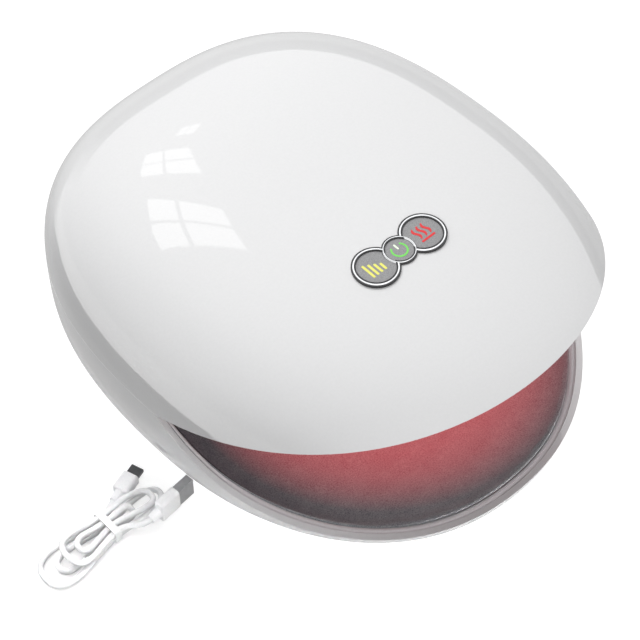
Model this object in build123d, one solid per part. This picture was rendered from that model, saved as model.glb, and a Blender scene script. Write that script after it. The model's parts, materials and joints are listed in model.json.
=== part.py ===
from build123d import *
from math import acos, asin, copysign, cos, pi, sin, tan
import os

# Cordless hand massager, all sizes in mm.
# Origin: on the table, under the middle of the body. +Z up, the mouth faces -Y.

# Driving sizes of the body
half_width = 100.0
back_length = 122.0
front_length = 111.0
dome_front_length = 140.0
body_height = 105.0
widest_z = 49.0
seam_z = 58.0
foot_height = 2.0
wall = 2.4
overrun = 6.0
clearance = 0.2
seat_gap = 0.3

# The body's middle lies over the origin, so its widest line lies behind or before it
widest_y = (front_length - back_length) / 2

# Powers of the rounded outlines, seen from above and from the side
back_power = 2.6
dome_front_power = 2.0
base_front_power = 2.15
dome_plan_power = 3.2
dome_rise_power = 3.5

# Corner of the mouth, and how the lip and the rim leave it
corner_back = 5.0
lip_run = 130.0
lip_drop = 1.8
lip_bend_share = 0.555
rim_run = 115.0
rim_z = 19.8
rim_bend_z = 16.5
lip_rise = body_height - seam_z - lip_drop

# Grey ring round the mouth and the cloth behind it
trim_width = 3.2
lower_trim_depth = 3.0
upper_trim_depth = 5.0
cloth_thickness = 2.0
cloth_setback = 0.8

# Hand slot
slot_back = 72.0
slot_floor_z = 14.5
roof_depth = 33.0
ceiling_z = body_height - roof_depth

# Pieces under the slot
frame_thickness = 2.0
film_thickness = 0.5
lower_bag_thickness = 3.7
upper_bag_thickness = 5.0

outline_steps = 32
dome_steps = 12
cap_share = 0.16


def power_outline(z, width, front, back, front_power):
    """Closed face at one height: a rounded outline about the widest line."""
    points = []
    for step in range(outline_steps):
        turn = 2 * pi * step / outline_steps
        across = cos(turn)
        along = sin(turn)
        power = front_power if along < 0 else back_power
        reach = front if along < 0 else back
        x = width * copysign(abs(across) ** (2 / power), across)
        y = reach * copysign(abs(along) ** (2 / power), along)
        points.append((x, widest_y + y, z))
    return make_face(Spline(*points, periodic=True))


def dome_form(inset, drop, back, low_z):
    """Solid dome from low_z up, inside the outer skin by inset and lower by drop."""
    rise = body_height - drop - widest_z
    width = half_width - inset
    front = dome_front_length - inset
    start = asin(((seam_z - widest_z) / rise) ** (dome_rise_power / 2))
    finish = acos(cap_share ** (dome_plan_power / 2))
    sections = []
    if low_z < seam_z:
        share = cos(start) ** (2 / dome_plan_power)
        sections.append(power_outline(low_z, width * share, front * share, back * share, dome_front_power))
    for step in range(dome_steps + 1):
        turn = start + (finish - start) * step / dome_steps
        share = cos(turn) ** (2 / dome_plan_power)
        z = widest_z + rise * sin(turn) ** (2 / dome_rise_power)
        sections.append(power_outline(z, width * share, front * share, back * share, dome_front_power))
    return loft(sections)


# The base draws in below the widest line at its sides, and below the rim at its front
side_foot_share = 0.60
side_tuck_power = 2.8
front_foot_share = 0.72
front_tuck_power = 2.0
base_height_shares = (1.0, 0.84, 0.70, 0.56, 0.42, 0.32, 0.22, 0.14, 0.08, 0.035, 0.01, 0.0)


def tuck_share(z, top_z, foot_share, tuck_power):
    depth_share = max(0.0, top_z - z) / (top_z - foot_height)
    curve = max(0.0, 1 - depth_share ** tuck_power) ** (1 / 2)
    return foot_share + (1 - foot_share) * curve


def base_shares(z):
    side = tuck_share(z, widest_z, side_foot_share, side_tuck_power)
    front = tuck_share(z, rim_z, front_foot_share, front_tuck_power)
    return side, front


def base_form(inset, lift, top_z):
    """Solid base up to top_z, inside the outer skin by inset, its floor higher by lift."""
    sections = []
    for share in reversed(base_height_shares):
        z = foot_height + (seam_z - foot_height) * share
        side, front = base_shares(z)
        lifted = foot_height + lift + (seam_z - foot_height - lift) * share
        width = half_width * side - inset
        reach = front_length * front - inset
        back = back_length * side - inset
        sections.append(power_outline(lifted, width, reach, back, base_front_power))
    if top_z > seam_z:
        top_width = half_width - inset
        top_back = back_length - inset
        sections.append(power_outline(top_z, top_width, front_length - inset, top_back, base_front_power))
    return loft(sections)


# Side view of the mouth: the lip curve above, the rim curve below
corner_y = widest_y - corner_back


def lip_curve(rise):
    start = (corner_y, seam_z + rise)
    bend = (corner_y - lip_run / 2, seam_z + lip_bend_share * lip_rise + rise)
    end = (corner_y - lip_run, seam_z + lip_rise + rise)
    return Bezier(start, bend, end)


def rim_curve(rise):
    start = (corner_y, seam_z + rise)
    bend = (corner_y - rim_run / 2, rim_bend_z + rise)
    end = (corner_y - rim_run, rim_z + rise)
    return Bezier(start, bend, end)


def across(profile, half_span=half_width + overrun):
    """Solid from a side-view outline, run across the whole width."""
    face = Plane.YZ * make_face(profile)
    return extrude(face, half_span, both=True)


def between(upper, lower):
    """Side-view outline closed between two curves that run forward, past the dome's front."""
    front_y = widest_y - dome_front_length - overrun
    high = (front_y, (upper @ 1).Y)
    low = (front_y, (lower @ 1).Y)
    closing = [Line(upper @ 1, high), Line(high, low), Line(low, lower @ 1)]
    if ((upper @ 0) - (lower @ 0)).length > 0:
        closing.append(Line(upper @ 0, lower @ 0))
    return Curve() + [upper, lower] + closing


def mouth_space(grow):
    return across(between(lip_curve(grow), rim_curve(-grow)))


def place(x, y, z):
    """Location given from the widest line, which the shells are drawn about."""
    return Location((x, widest_y + y, z))


def post(x, y, low_z, high_z, radius):
    upright = Cylinder(radius, high_z - low_z, align=(Align.CENTER, Align.CENTER, Align.MIN))
    return place(x, y, low_z) * upright


def block(x, y, z, width, depth, height):
    """Box that stands on z, centred on x and y from the widest line."""
    return place(x, y, z) * Box(width, depth, height, align=(Align.CENTER, Align.CENTER, Align.MIN))


# Screw posts that join the two shells
case_post_places = ((-80.0, 62.0), (80.0, 62.0), (-36.0, 107.0), (36.0, 107.0))
case_post_radius = 4.4
case_screw_radius = 1.5
case_head_radius = 2.7
case_head_height = 2.0
case_well_radius = 3.1
case_seat_z = 24.0
case_screw_bite = 10.0
case_hole_radius = 1.7
pilot_share = 0.85

# Screw posts of the two inner frames
upper_post_places = ((-76.0, -34.0), (76.0, -34.0), (-76.0, 40.0), (76.0, 40.0))
lower_post_places = ((-60.0, -34.0), (60.0, -34.0), (-60.0, 34.0), (60.0, 34.0))
frame_post_radius = 3.6
frame_screw_radius = 1.2
frame_head_radius = 2.3
frame_head_height = 1.4
frame_hole_radius = 1.4
frame_screw_bite = 6.0

lower_frame_z = foot_height + wall + 1.3
lower_bag_z = lower_frame_z + frame_thickness + clearance
film_z = lower_bag_z + lower_bag_thickness + clearance
upper_bag_z = ceiling_z + cloth_thickness + seat_gap
upper_frame_z = upper_bag_z + upper_bag_thickness + seat_gap
deck_z = upper_frame_z + frame_thickness

# Row of three buttons on the dome
button_y = -37.3
button_spacing = 12.5
ring_radius = 9.4
power_ring_radius = 6.8
ring_width = 1.4
power_ring_width = 0.95
ring_proud = 0.6
ring_round_share = 0.4
ring_seat_depth = 1.3
ring_seat_width = 0.5
button_gap = 0.15
button_sunk = 0.25
button_travel = 0.5
button_thickness = 2.0
flange_gap = 0.35
flange_thickness = 0.8
flange_play = 0.1
stem_radius = 2.4

dome_at_buttons = widest_z + (body_height - widest_z) * (
    1 - (abs(button_y) / dome_front_length) ** dome_plan_power
) ** (1 / dome_rise_power)
ring_floor_z = dome_at_buttons - ring_seat_depth
ring_top_z = dome_at_buttons + ring_proud
button_top_z = ring_top_z - button_sunk
flange_top_z = ring_floor_z - flange_play

# Button board and its switches
board_thickness = 1.6
button_board_drop = 8.0
button_board_width = 46.0
button_board_depth = 18.0
switch_width = 4.6
switch_height = 2.0
switch_bore_radius = 1.3
plunger_radius = 1.2
plunger_height = 1.0
board_post_radius = 2.4
board_post_x = 20.0
board_screw_radius = 0.8
board_screw_bite = 4.0
board_head_radius = 1.7
board_head_height = 1.0

button_board_top_z = dome_at_buttons - wall - button_board_drop
switch_top_z = button_board_top_z + switch_height
plunger_top_z = switch_top_z + plunger_height


def circles_at_sides(radius):
    return Location((-button_spacing, 0)) * Circle(radius) + Location((button_spacing, 0)) * Circle(radius)


def three_circles(side_radius, middle_radius):
    """Outline of the button group: a circle at each side and one between."""
    return circles_at_sides(side_radius) + Circle(middle_radius)


def at_buttons(z):
    return place(0, button_y, z)


# Rear shelf, pump saddle and charging inlet in the base
shelf_z = 28.0
shelf_thickness = 2.0
shelf_front = 79.0
shelf_left = -10.0
shelf_right = 64.0
inlet_width = 8.6
inlet_height = 4.0
inlet_recess_width = 12.5
inlet_recess_height = 8.0
inlet_recess_depth = 1.0
inlet_z = shelf_z + 3.2

pump_y = 88.4
pump_z = 40.0
can_radius = 12.0
can_length = 26.0
can_left = -64.0
head_size = 26.0
head_length = 18.0
cap_length = 6.0
saddle_thickness = 3.0
saddle_clearance = 0.05
can_right = can_left + can_length
head_right = can_right + head_length
cap_right = head_right + cap_length

foot_places = ((-40.0, -58.0), (40.0, -58.0), (-44.0, 50.0), (44.0, 50.0))
foot_radius = 6.0
foot_pocket = 0.8
tongue_height = 2.0
tongue_depth = 4.0
tongue_thickness = 1.1


def rear_face_y(z):
    """Where the base's rear face stands at one height."""
    side, front = base_shares(z)
    return widest_y + back_length * side


def rear_tongue():
    """Ring inside the seam that lines the shells up, behind the corners of the mouth."""
    low_z = seam_z - tongue_depth
    high_z = seam_z + tongue_height
    outer = half_width - wall
    back = back_length - wall
    ring = power_outline(low_z, outer, front_length - wall, back, base_front_power)
    hole = power_outline(
        low_z, outer - tongue_thickness, front_length - wall, back - tongue_thickness, base_front_power
    )
    band = extrude(ring - hole, high_z - low_z)
    keep = block(0, back_length / 2 + corner_back, low_z, 2 * half_width, back_length, high_z - low_z)
    slim = extrude(
        power_outline(seam_z, outer - clearance, front_length, back - clearance, base_front_power),
        tongue_height,
    )
    above = block(0, 0, seam_z, 4 * half_width, 4 * half_width, tongue_height)
    return (band & keep) - (above - slim)


def base_shell():
    outer = base_form(0, 0, seam_z)
    inside_skin = base_form(wall / 2, wall / 2, seam_z)
    shell = outer - base_form(wall, wall, seam_z + overrun)
    inside = []
    for x, y in case_post_places:
        inside.append(post(x, y, foot_height, seam_z, case_post_radius))
    for x, y in lower_post_places:
        inside.append(post(x, y, foot_height, lower_frame_z, frame_post_radius))
    shelf_width = shelf_right - shelf_left
    shelf_middle = (shelf_left + shelf_right) / 2
    shelf_depth = back_length - shelf_front
    shelf_y = shelf_front + shelf_depth / 2
    shelf_low = shelf_z - shelf_thickness
    inside.append(block(shelf_middle, shelf_y, shelf_low, shelf_width, shelf_depth, shelf_thickness))
    saddle_height = pump_z - foot_height
    for x in (can_left + saddle_thickness, can_right - saddle_thickness):
        rib = block(x, pump_y, foot_height, saddle_thickness, 2 * can_radius, saddle_height)
        bore = place(x, pump_y, pump_z) * Rotation(0, 90, 0) * Cylinder(
            can_radius + saddle_clearance, 2 * saddle_thickness
        )
        inside.append(rib - bore)
    for piece in inside:
        shell += piece & inside_skin
    shell += rear_tongue()
    shell -= mouth_space(0)
    for x, y in case_post_places:
        shell -= post(x, y, 0, case_seat_z, case_well_radius)
        shell -= post(x, y, 0, seam_z + overrun, case_hole_radius)
    for x, y in lower_post_places:
        pilot = frame_screw_radius * pilot_share
        shell -= post(x, y, foot_height + wall / 2, lower_frame_z + overrun, pilot)
    for x, y in foot_places:
        shell -= post(x, y, 0, foot_height + foot_pocket, foot_radius + clearance)
    slot = RectangleRounded(inlet_width, inlet_height, inlet_height / 3)
    recess = RectangleRounded(inlet_recess_width, inlet_recess_height, inlet_recess_height / 3)
    face_y = rear_face_y(inlet_z)
    back_plane = Plane(origin=(0, face_y + overrun, inlet_z), x_dir=(1, 0, 0), z_dir=(0, -1, 0))
    shell -= extrude(back_plane * slot, 2 * overrun)
    shell -= extrude(back_plane * recess, overrun + inlet_recess_depth)
    return shell


def top_shell():
    outer = dome_form(0, 0, back_length, seam_z)
    inside_skin = dome_form(wall / 2, wall / 2, back_length - wall / 2, seam_z)
    shell = outer - dome_form(wall, wall, back_length - wall, seam_z - overrun)
    inside = []
    for x, y in case_post_places:
        inside.append(post(x, y, seam_z, body_height, case_post_radius))
    for x, y in upper_post_places:
        inside.append(post(x, y, deck_z, body_height, frame_post_radius))
    for side in (-1, 1):
        x = side * board_post_x
        inside.append(post(x, button_y, button_board_top_z, ring_floor_z - clearance, board_post_radius))
    for piece in inside:
        shell += piece & inside_skin
    shell -= mouth_space(0)
    for x, y in case_post_places:
        pilot = case_screw_radius * pilot_share
        shell -= post(x, y, seam_z - overrun, seam_z + case_screw_bite + wall, pilot)
    for x, y in upper_post_places:
        pilot = frame_screw_radius * pilot_share
        shell -= post(x, y, deck_z - overrun, deck_z + frame_screw_bite + wall, pilot)
    for side in (-1, 1):
        x = side * board_post_x
        pilot = board_screw_radius * pilot_share
        top = button_board_top_z + board_screw_bite + board_thickness
        shell -= post(x, button_y, button_board_top_z - overrun, top, pilot)
    seat = three_circles(ring_radius + clearance / 2, power_ring_radius + clearance / 2)
    opening = three_circles(ring_radius - ring_seat_width, power_ring_radius - ring_seat_width)
    shell -= extrude(at_buttons(ring_floor_z) * seat, overrun)
    shell -= extrude(at_buttons(ring_floor_z - overrun) * opening, 2 * overrun)
    return shell


def rounded_ring(x, radius, width):
    """Ring with a rounded top, turned about its own axis."""
    height = ring_top_z - ring_floor_z
    profile = Location((radius - width / 2, height / 2)) * Rectangle(width, height)
    profile = fillet(profile.vertices().group_by(Axis.Y)[-1], width * ring_round_share)
    return at_buttons(ring_floor_z) * Location((x, 0, 0)) * revolve(Plane.XZ * profile, Axis.Z)


def button_bezel():
    """Chrome ring: three joined circles, with the middle ring whole."""
    bezel = rounded_ring(0, power_ring_radius, power_ring_width)
    inside = post(0, button_y, ring_floor_z, ring_top_z, power_ring_radius - power_ring_width / 2)
    for x in (-button_spacing, button_spacing):
        bezel += rounded_ring(x, ring_radius, ring_width) - inside
    return bezel


def button(x):
    """Disc with a flange that the ring keeps in, and a stem down to its switch."""
    side = x != 0
    disc_radius = (ring_radius - ring_width if side else power_ring_radius - power_ring_width) - button_gap
    flange_radius = (ring_radius if side else power_ring_radius) - ring_seat_width - flange_gap / 2
    disc = Location((x, 0)) * Circle(disc_radius)
    flange = Location((x, 0)) * Circle(flange_radius)
    if side:
        disc -= Circle(power_ring_radius + button_gap)
        flange -= Circle(power_ring_radius + button_gap)
    flange_low = flange_top_z - flange_thickness
    body = extrude(at_buttons(flange_low) * disc, button_top_z - flange_low)
    body += extrude(at_buttons(flange_low) * flange, flange_thickness)
    body += post(x, button_y, plunger_top_z, flange_low, stem_radius)
    return body


def switch_plunger(x):
    return post(x, button_y, switch_top_z - plunger_height, plunger_top_z, plunger_radius)


button_xs = (-button_spacing, 0.0, button_spacing)


def button_board():
    board = at_buttons(button_board_top_z - board_thickness) * extrude(
        RectangleRounded(button_board_width, button_board_depth, board_post_radius), board_thickness
    )
    for side in (-1, 1):
        x = side * board_post_x
        board -= post(x, button_y, 0, body_height, board_screw_radius + clearance)
    return board


def switches():
    pieces = []
    for x in button_xs:
        body = block(x, button_y, button_board_top_z, switch_width, switch_width, switch_height)
        bore = post(x, button_y, button_board_top_z + clearance, switch_top_z, switch_bore_radius)
        pieces.append(body - bore)
    return Compound(pieces)


def screw(x, y, seat_z, length, shank_radius, head_radius, head_height):
    """Screw that is driven up from below, its head under seat_z."""
    head = post(x, y, seat_z - head_height, seat_z, head_radius)
    slot = block(x, y, seat_z - head_height, head_radius, head_height / 3, head_height / 3)
    cross = block(x, y, seat_z - head_height, head_height / 3, head_radius, head_height / 3)
    return head + post(x, y, seat_z, seat_z + length, shank_radius * pilot_share) - slot - cross


def case_screws():
    length = seam_z + case_screw_bite - case_seat_z
    return Compound(
        [
            screw(x, y, case_seat_z, length, case_screw_radius, case_head_radius, case_head_height)
            for x, y in case_post_places
        ]
    )


def upper_frame_screws():
    length = frame_thickness + frame_screw_bite
    return Compound(
        [
            screw(x, y, upper_frame_z, length, frame_screw_radius, frame_head_radius, frame_head_height)
            for x, y in upper_post_places
        ]
    )


def turned_screw(x, y, seat_z, length):
    """Screw that is driven down from above, its head on seat_z."""
    head = post(x, y, seat_z, seat_z + frame_head_height, frame_head_radius)
    return head + post(x, y, seat_z - length, seat_z, frame_screw_radius * pilot_share)


def lower_frame_screws():
    head_seat = lower_frame_z + frame_thickness
    length = frame_thickness + lower_frame_z - foot_height - wall
    return Compound([turned_screw(x, y, head_seat, length) for x, y in lower_post_places])


def board_screws():
    seat_z = button_board_top_z - board_thickness
    length = board_thickness + board_screw_bite
    pieces = []
    for side in (-1, 1):
        x = side * board_post_x
        head = post(x, button_y, seat_z - board_head_height, seat_z, board_head_radius)
        pieces.append(head + post(x, button_y, seat_z, seat_z + length, board_screw_radius * pilot_share))
    return Compound(pieces)


def feet():
    pieces = []
    for x, y in foot_places:
        foot = post(x, y, 0, foot_height + foot_pocket, foot_radius)
        rim = foot.edges().group_by(Axis.Z)[0]
        pieces.append(fillet(rim, foot_height / 3))
    return Compound(pieces)


# Grey ring of the mouth
def lower_mouth_trim():
    ring = base_form(wall + clearance, wall, seam_z)
    ring -= bowl_form(slot_inset - clearance, slot_floor_z - cloth_thickness, slot_back, seam_z + overrun)
    band = across(between(rim_curve(0), rim_curve(-lower_trim_depth)))
    return ring & band


def upper_mouth_trim():
    inner = wall + trim_width
    ring = dome_form(wall + clearance, wall + clearance, back_length - wall, seam_z)
    ring -= dome_form(inner, inner, back_length - inner, seam_z - overrun)
    band = across(between(lip_curve(upper_trim_depth), lip_curve(0)))
    return ring & band


# Cloth of the hand slot
slot_inset = wall + trim_width + clearance
bowl_height_shares = (1.0, 0.80, 0.62, 0.44, 0.28, 0.135)
bowl_flat_share = 0.74
bowl_round_steps = 4
ceiling_lift = 2.2


def bowl_form(inset, floor_z, back, top_z):
    """Solid of the slot's lower half: down the base's wall to the rim's height, then rounded in."""
    rounding = []
    knee_z = slot_floor_z + (seam_z - slot_floor_z) * bowl_height_shares[-1]
    knee_side, knee_front = base_shares(knee_z)
    for step in range(bowl_round_steps, -1, -1):
        turn = pi / 2 * step / bowl_round_steps
        share = bowl_flat_share + (1 - bowl_flat_share) * cos(turn)
        z = knee_z - (knee_z - floor_z) * sin(turn)
        width = (half_width * knee_side - inset) * share
        front = (front_length * knee_front - inset) * share
        rounding.append(power_outline(z, width, front, back * share, base_front_power))
    walls = []
    for level in reversed(bowl_height_shares):
        z = slot_floor_z + (seam_z - slot_floor_z) * level
        side, front = base_shares(z)
        walls.append(
            power_outline(z, half_width * side - inset, front_length * front - inset, back, base_front_power)
        )
    if top_z > seam_z:
        walls.append(power_outline(top_z, half_width - inset, front_length - inset, back, base_front_power))
    return loft(rounding) + loft(walls)


def lower_lining():
    outer = bowl_form(slot_inset, slot_floor_z - cloth_thickness, slot_back + cloth_thickness, seam_z)
    inner = bowl_form(slot_inset + cloth_thickness, slot_floor_z, slot_back, seam_z + overrun)
    return outer - inner - mouth_space(cloth_setback)


def under_ceiling(rise):
    """Everything below the ceiling: flat at the back, then sweeping up beside the lip."""
    below = across(between(lip_curve(ceiling_lift + rise), rim_curve(0)))
    height = ceiling_z + rise
    return below + block(0, 0, 0, 4 * half_width, 4 * half_width, height)


def upper_lining():
    low_z = seam_z + clearance
    outer = dome_form(slot_inset, slot_inset, slot_back + cloth_thickness, seam_z)
    outer &= under_ceiling(cloth_thickness)
    inset = slot_inset + cloth_thickness
    inner = dome_form(inset, inset, slot_back, seam_z - overrun)
    inner &= under_ceiling(0)
    cloth = outer - inner - mouth_space(cloth_setback)
    return cloth - block(0, 0, 0, 4 * half_width, 4 * half_width, low_z)


# Inner frames
deck_front = 48.0
deck_edge_gap = 0.4
lower_frame_gap = 2.0
lower_frame_reach = 70.0
board_spacer_height = 4.0
board_spacer_radius = 2.4
board_spacer_places = ((-29.0, 50.0), (29.0, 50.0), (-29.0, 80.0), (29.0, 80.0))


def upper_frame():
    """Deck across the dome that carries the upper airbags, the cells and the main board."""
    slab = block(0, 0, upper_frame_z, 4 * half_width, 4 * half_width, frame_thickness)
    inset = wall + deck_edge_gap
    deck = dome_form(inset, inset, back_length - inset, seam_z - overrun) & slab
    front_y = -deck_front - half_width
    front_side = block(0, front_y, upper_frame_z, 4 * half_width, 2 * half_width, frame_thickness)
    deck -= front_side
    for x, y in upper_post_places:
        deck -= post(x, y, upper_frame_z, deck_z, frame_hole_radius)
    for x, y in case_post_places:
        deck -= post(x, y, upper_frame_z, deck_z, case_post_radius + deck_edge_gap)
    for x, y in board_spacer_places:
        deck += post(x, y, deck_z, deck_z + board_spacer_height, board_spacer_radius)
        deck -= post(x, y, deck_z, deck_z + board_spacer_height, board_screw_radius * pilot_share)
    return deck


def lower_frame():
    slab = block(0, 0, lower_frame_z, 4 * half_width, 2 * lower_frame_reach, frame_thickness)
    plate = base_form(wall + lower_frame_gap, wall, seam_z) & slab
    for x, y in lower_post_places:
        plate -= post(x, y, lower_frame_z, lower_frame_z + frame_thickness, frame_hole_radius)
    return plate


# Airbags: two flat welded pillows on one skirt, joined by a channel, with a stub for the hose
bag_weld_width = 3.0
bag_weld_thickness = 0.8
bag_corner = 14.0
bag_round_share = 0.4
channel_radius = 1.6
stub_radius = 1.3
stub_length = 6.0
upper_bag_width = 126.0
upper_bag_y = (-34.0, 10.0, 55.0)
lower_bag_width = 104.0
lower_bag_y = (-56.0, -2.0, 50.0)
upper_hose_x = 13.0
lower_hose_x = 38.0


def airbag(width, lines, low_z, thickness, stub_x):
    front, split, back = lines
    middle_z = low_z + thickness / 2
    skirt = place(0, (front + back) / 2, middle_z) * Box(width, back - front, bag_weld_thickness)
    bag = fillet(skirt.edges().filter_by(Axis.Z), bag_corner)
    for start, end in ((front, split), (split, back)):
        depth = end - start - 2 * bag_weld_width
        outline = RectangleRounded(width - 2 * bag_weld_width, depth, bag_corner - bag_weld_width)
        pillow = place(0, (start + end) / 2, low_z) * extrude(outline, thickness)
        rims = pillow.edges().group_by(Axis.Z)
        bag += fillet(rims[0] + rims[-1], thickness * bag_round_share)
    along = Plane(origin=(0, widest_y + split, middle_z), x_dir=(1, 0, 0), z_dir=(0, 1, 0))
    bag += extrude(along * Circle(channel_radius), 2 * bag_weld_width, both=True)
    start = widest_y + back - 2 * bag_weld_width
    along = Plane(origin=(stub_x, start, middle_z), x_dir=(1, 0, 0), z_dir=(0, 1, 0))
    return bag + extrude(along * Circle(stub_radius), 2 * bag_weld_width + stub_length)


def upper_airbag():
    return airbag(upper_bag_width, upper_bag_y, upper_bag_z, upper_bag_thickness, upper_hose_x)


def lower_airbag():
    return airbag(lower_bag_width, lower_bag_y, lower_bag_z, lower_bag_thickness, lower_hose_x)


film_width = 112.0
film_front = -62.0
film_back = 40.0


def heating_film():
    depth = film_back - film_front
    sheet = extrude(RectangleRounded(film_width, depth, bag_corner), film_thickness)
    return place(0, (film_back + film_front) / 2, film_z) * sheet


# Main board behind the cells
main_board_width = 66.0
main_board_depth = 38.0
main_board_y = 65.0
main_board_z = deck_z + board_spacer_height
chip_size = 9.0
chip_height = 1.6
socket_width = 11.0
socket_depth = 5.0
socket_height = 5.5
capacitor_radius = 3.2
capacitor_height = 7.0
sensor_size = 7.0
sensor_height = 4.0


def main_board():
    outline = RectangleRounded(main_board_width, main_board_depth, board_post_radius)
    board = place(0, main_board_y, main_board_z) * extrude(outline, board_thickness)
    for x, y in board_spacer_places:
        board -= post(x, y, main_board_z, main_board_z + board_thickness, board_screw_radius + clearance)
    return board


def board_parts():
    """What stands on the main board: chips, sockets, capacitors and the pressure sensor."""
    top = main_board_z + board_thickness
    front = main_board_y - main_board_depth / 2
    sensor_y = main_board_y + 1.5 * sensor_size
    pieces = [
        block(-chip_size, main_board_y, top, chip_size, chip_size, chip_height),
        block(chip_size, main_board_y, top, chip_size, chip_size * 0.7, chip_height),
        block(0, front + socket_depth, top, socket_width, socket_depth, socket_height),
        block(-1.5 * socket_width, front + socket_depth, top, socket_width, socket_depth, socket_height),
        block(-2 * sensor_size, sensor_y, top, sensor_size, sensor_size, sensor_height),
        post(2.5 * chip_size, main_board_y, top, top + capacitor_height, capacitor_radius),
        post(2.5 * chip_size, main_board_y + chip_size, top, top + capacitor_height, capacitor_radius),
    ]
    return Compound(pieces)


def main_board_screws():
    seat_z = main_board_z + board_thickness
    length = board_thickness + board_screw_bite - board_screw_radius
    pieces = []
    for x, y in board_spacer_places:
        head = post(x, y, seat_z, seat_z + board_head_height, board_head_radius)
        pieces.append(head + post(x, y, seat_z - length, seat_z, board_screw_radius * pilot_share))
    return Compound(pieces)


# Two cells side by side in a cradle on the deck
cell_radius = 9.1
cell_length = 65.0
cell_pitch = 19.0
cell_lift = 1.0
cell_rows = (11.5, 30.5)
nub_radius = 2.8
nub_height = 1.2
cradle_height = 6.0
cradle_end = 3.0
cradle_gap = 0.15
cell_z = deck_z + cell_lift + cell_radius


def cell(y, radius, length):
    return place(0, y, cell_z) * Rotation(0, 90, 0) * Cylinder(radius, length)


def battery_cells():
    pieces = []
    for y in cell_rows:
        pieces.append(cell(y, cell_radius, cell_length) + cell(y, nub_radius, cell_length + nub_height))
    return Compound(pieces)


def battery_cradle():
    middle_y = (cell_rows[0] + cell_rows[1]) / 2
    pitch = cell_rows[1] - cell_rows[0]
    width = cell_length + 2 * cradle_end
    cradle = block(0, middle_y, deck_z, width, pitch + 2 * cell_radius, cradle_height)
    for x in (-width / 2 + cradle_end / 4, width / 2 - cradle_end / 4):
        cradle += block(x, middle_y, deck_z, cradle_end / 2, pitch + cell_radius, 2 * cell_radius)
    for y in cell_rows:
        cradle -= cell(y, cell_radius + cradle_gap, cell_length + nub_height + cradle_gap)
    return cradle


# Air pump: can, magnets, rotor with its eccentric, head, diaphragm and cap
can_wall = 1.2
magnet_thickness = 1.8
magnet_length = 18.0
armature_gap = 0.6
shaft_radius = 1.5
bearing_gap = 0.05
eccentric_radius = 5.0
eccentric_offset = 1.5
eccentric_length = 7.0
head_wall = 2.0
head_corner = 3.0
diaphragm_thickness = 1.4
outlet_radius = 1.3
outlet_length = 5.0
outlet_z = 36.0


def along_x(x_low, x_high, radius, y=pump_y, z=pump_z):
    return place((x_low + x_high) / 2, y, z) * Rotation(0, 90, 0) * Cylinder(radius, x_high - x_low)


def pump_can():
    can = along_x(can_left, can_right, can_radius)
    can = fillet(can.edges().filter_by(GeomType.CIRCLE).sort_by(Axis.X)[0], can_wall)
    can -= along_x(can_left + 2 * can_wall, can_right - can_wall, can_radius - can_wall)
    return can - along_x(can_left + can_wall, can_right, shaft_radius + bearing_gap)


def pump_magnets():
    outer = can_radius - can_wall
    start = (can_left + can_right - magnet_length) / 2
    ring = along_x(start, start + magnet_length, outer)
    return ring - along_x(start, start + magnet_length, outer - magnet_thickness)


def pump_rotor():
    armature_radius = can_radius - can_wall - magnet_thickness - armature_gap
    start = (can_left + can_right - magnet_length) / 2
    end = head_right - head_wall - eccentric_length / 2
    rotor = along_x(can_left + can_wall + bearing_gap, end, shaft_radius)
    rotor += along_x(start, start + magnet_length, armature_radius)
    cam_start = end - eccentric_length
    return rotor + along_x(cam_start, end, eccentric_radius, z=pump_z + eccentric_offset)


def squared(x_low, x_high, size):
    plane = Plane(origin=(x_low, widest_y + pump_y, pump_z), x_dir=(0, 1, 0), z_dir=(1, 0, 0))
    return extrude(plane * RectangleRounded(size, size, head_corner), x_high - x_low)


def pump_head():
    head = squared(can_right, head_right, head_size)
    head -= along_x(can_right + head_wall, head_right, head_size / 2 - head_wall)
    return head - along_x(can_right, head_right, 2 * shaft_radius)


def pump_diaphragm():
    return squared(head_right, head_right + diaphragm_thickness, head_size)


def pump_cap():
    start = head_right + diaphragm_thickness
    cap = squared(start, cap_right, head_size)
    return cap + along_x(start, cap_right + outlet_length, outlet_radius, z=outlet_z)


# Two valves on the shelf, each with a sprung plunger
valve_width = 18.0
valve_size = 13.0
valve_bore_depth = 15.0
plunger_slide_radius = 2.5
valve_plunger_length = 13.0
valve_travel = 1.2
fill_valve_x = 4.0
vent_valve_x = 29.0
hose_radius = 1.9
hose_gap = 0.2
link_radius = 1.5
link_z = shelf_z + 2.2
valve_mid_z = shelf_z + valve_size / 2


def valve_body(left, with_inlet):
    middle_x = left + valve_width / 2
    body = block(middle_x, pump_y, shelf_z, valve_width, valve_size, valve_size)
    body = fillet(body.edges().filter_by(Axis.Z), head_corner / 3)
    right = left + valve_width
    if with_inlet:
        top = shelf_z + valve_size
        body += along_x(left - outlet_length, left, outlet_radius, z=outlet_z)
        body += post(middle_x, pump_y, top, top + outlet_length, outlet_radius)
    else:
        middle = (middle_x, widest_y + pump_y - valve_size / 2, valve_mid_z)
        front = Plane(origin=middle, x_dir=(1, 0, 0), z_dir=(0, -1, 0))
        body += extrude(front * Circle(outlet_radius), outlet_length / 2)
    return body - along_x(right - valve_bore_depth, right, plunger_slide_radius + bearing_gap, z=valve_mid_z)


def valve_plunger(left):
    end = left + valve_width + 2 * valve_travel
    slider = along_x(end - valve_plunger_length, end, plunger_slide_radius, z=valve_mid_z)
    return fillet(slider.edges().filter_by(GeomType.CIRCLE), plunger_slide_radius / 4)


def hose(points, bends):
    path = FilletPolyline(*points, radius=bends) if bends else Line(*points)
    start = Plane(origin=path @ 0, z_dir=path % 0)
    return sweep(start * (Circle(hose_radius) - Circle(outlet_radius)), path=path)


def pump_hose():
    y = widest_y + pump_y
    return hose([(cap_right + hose_gap, y, outlet_z), (fill_valve_x - hose_gap, y, outlet_z)], None)


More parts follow.
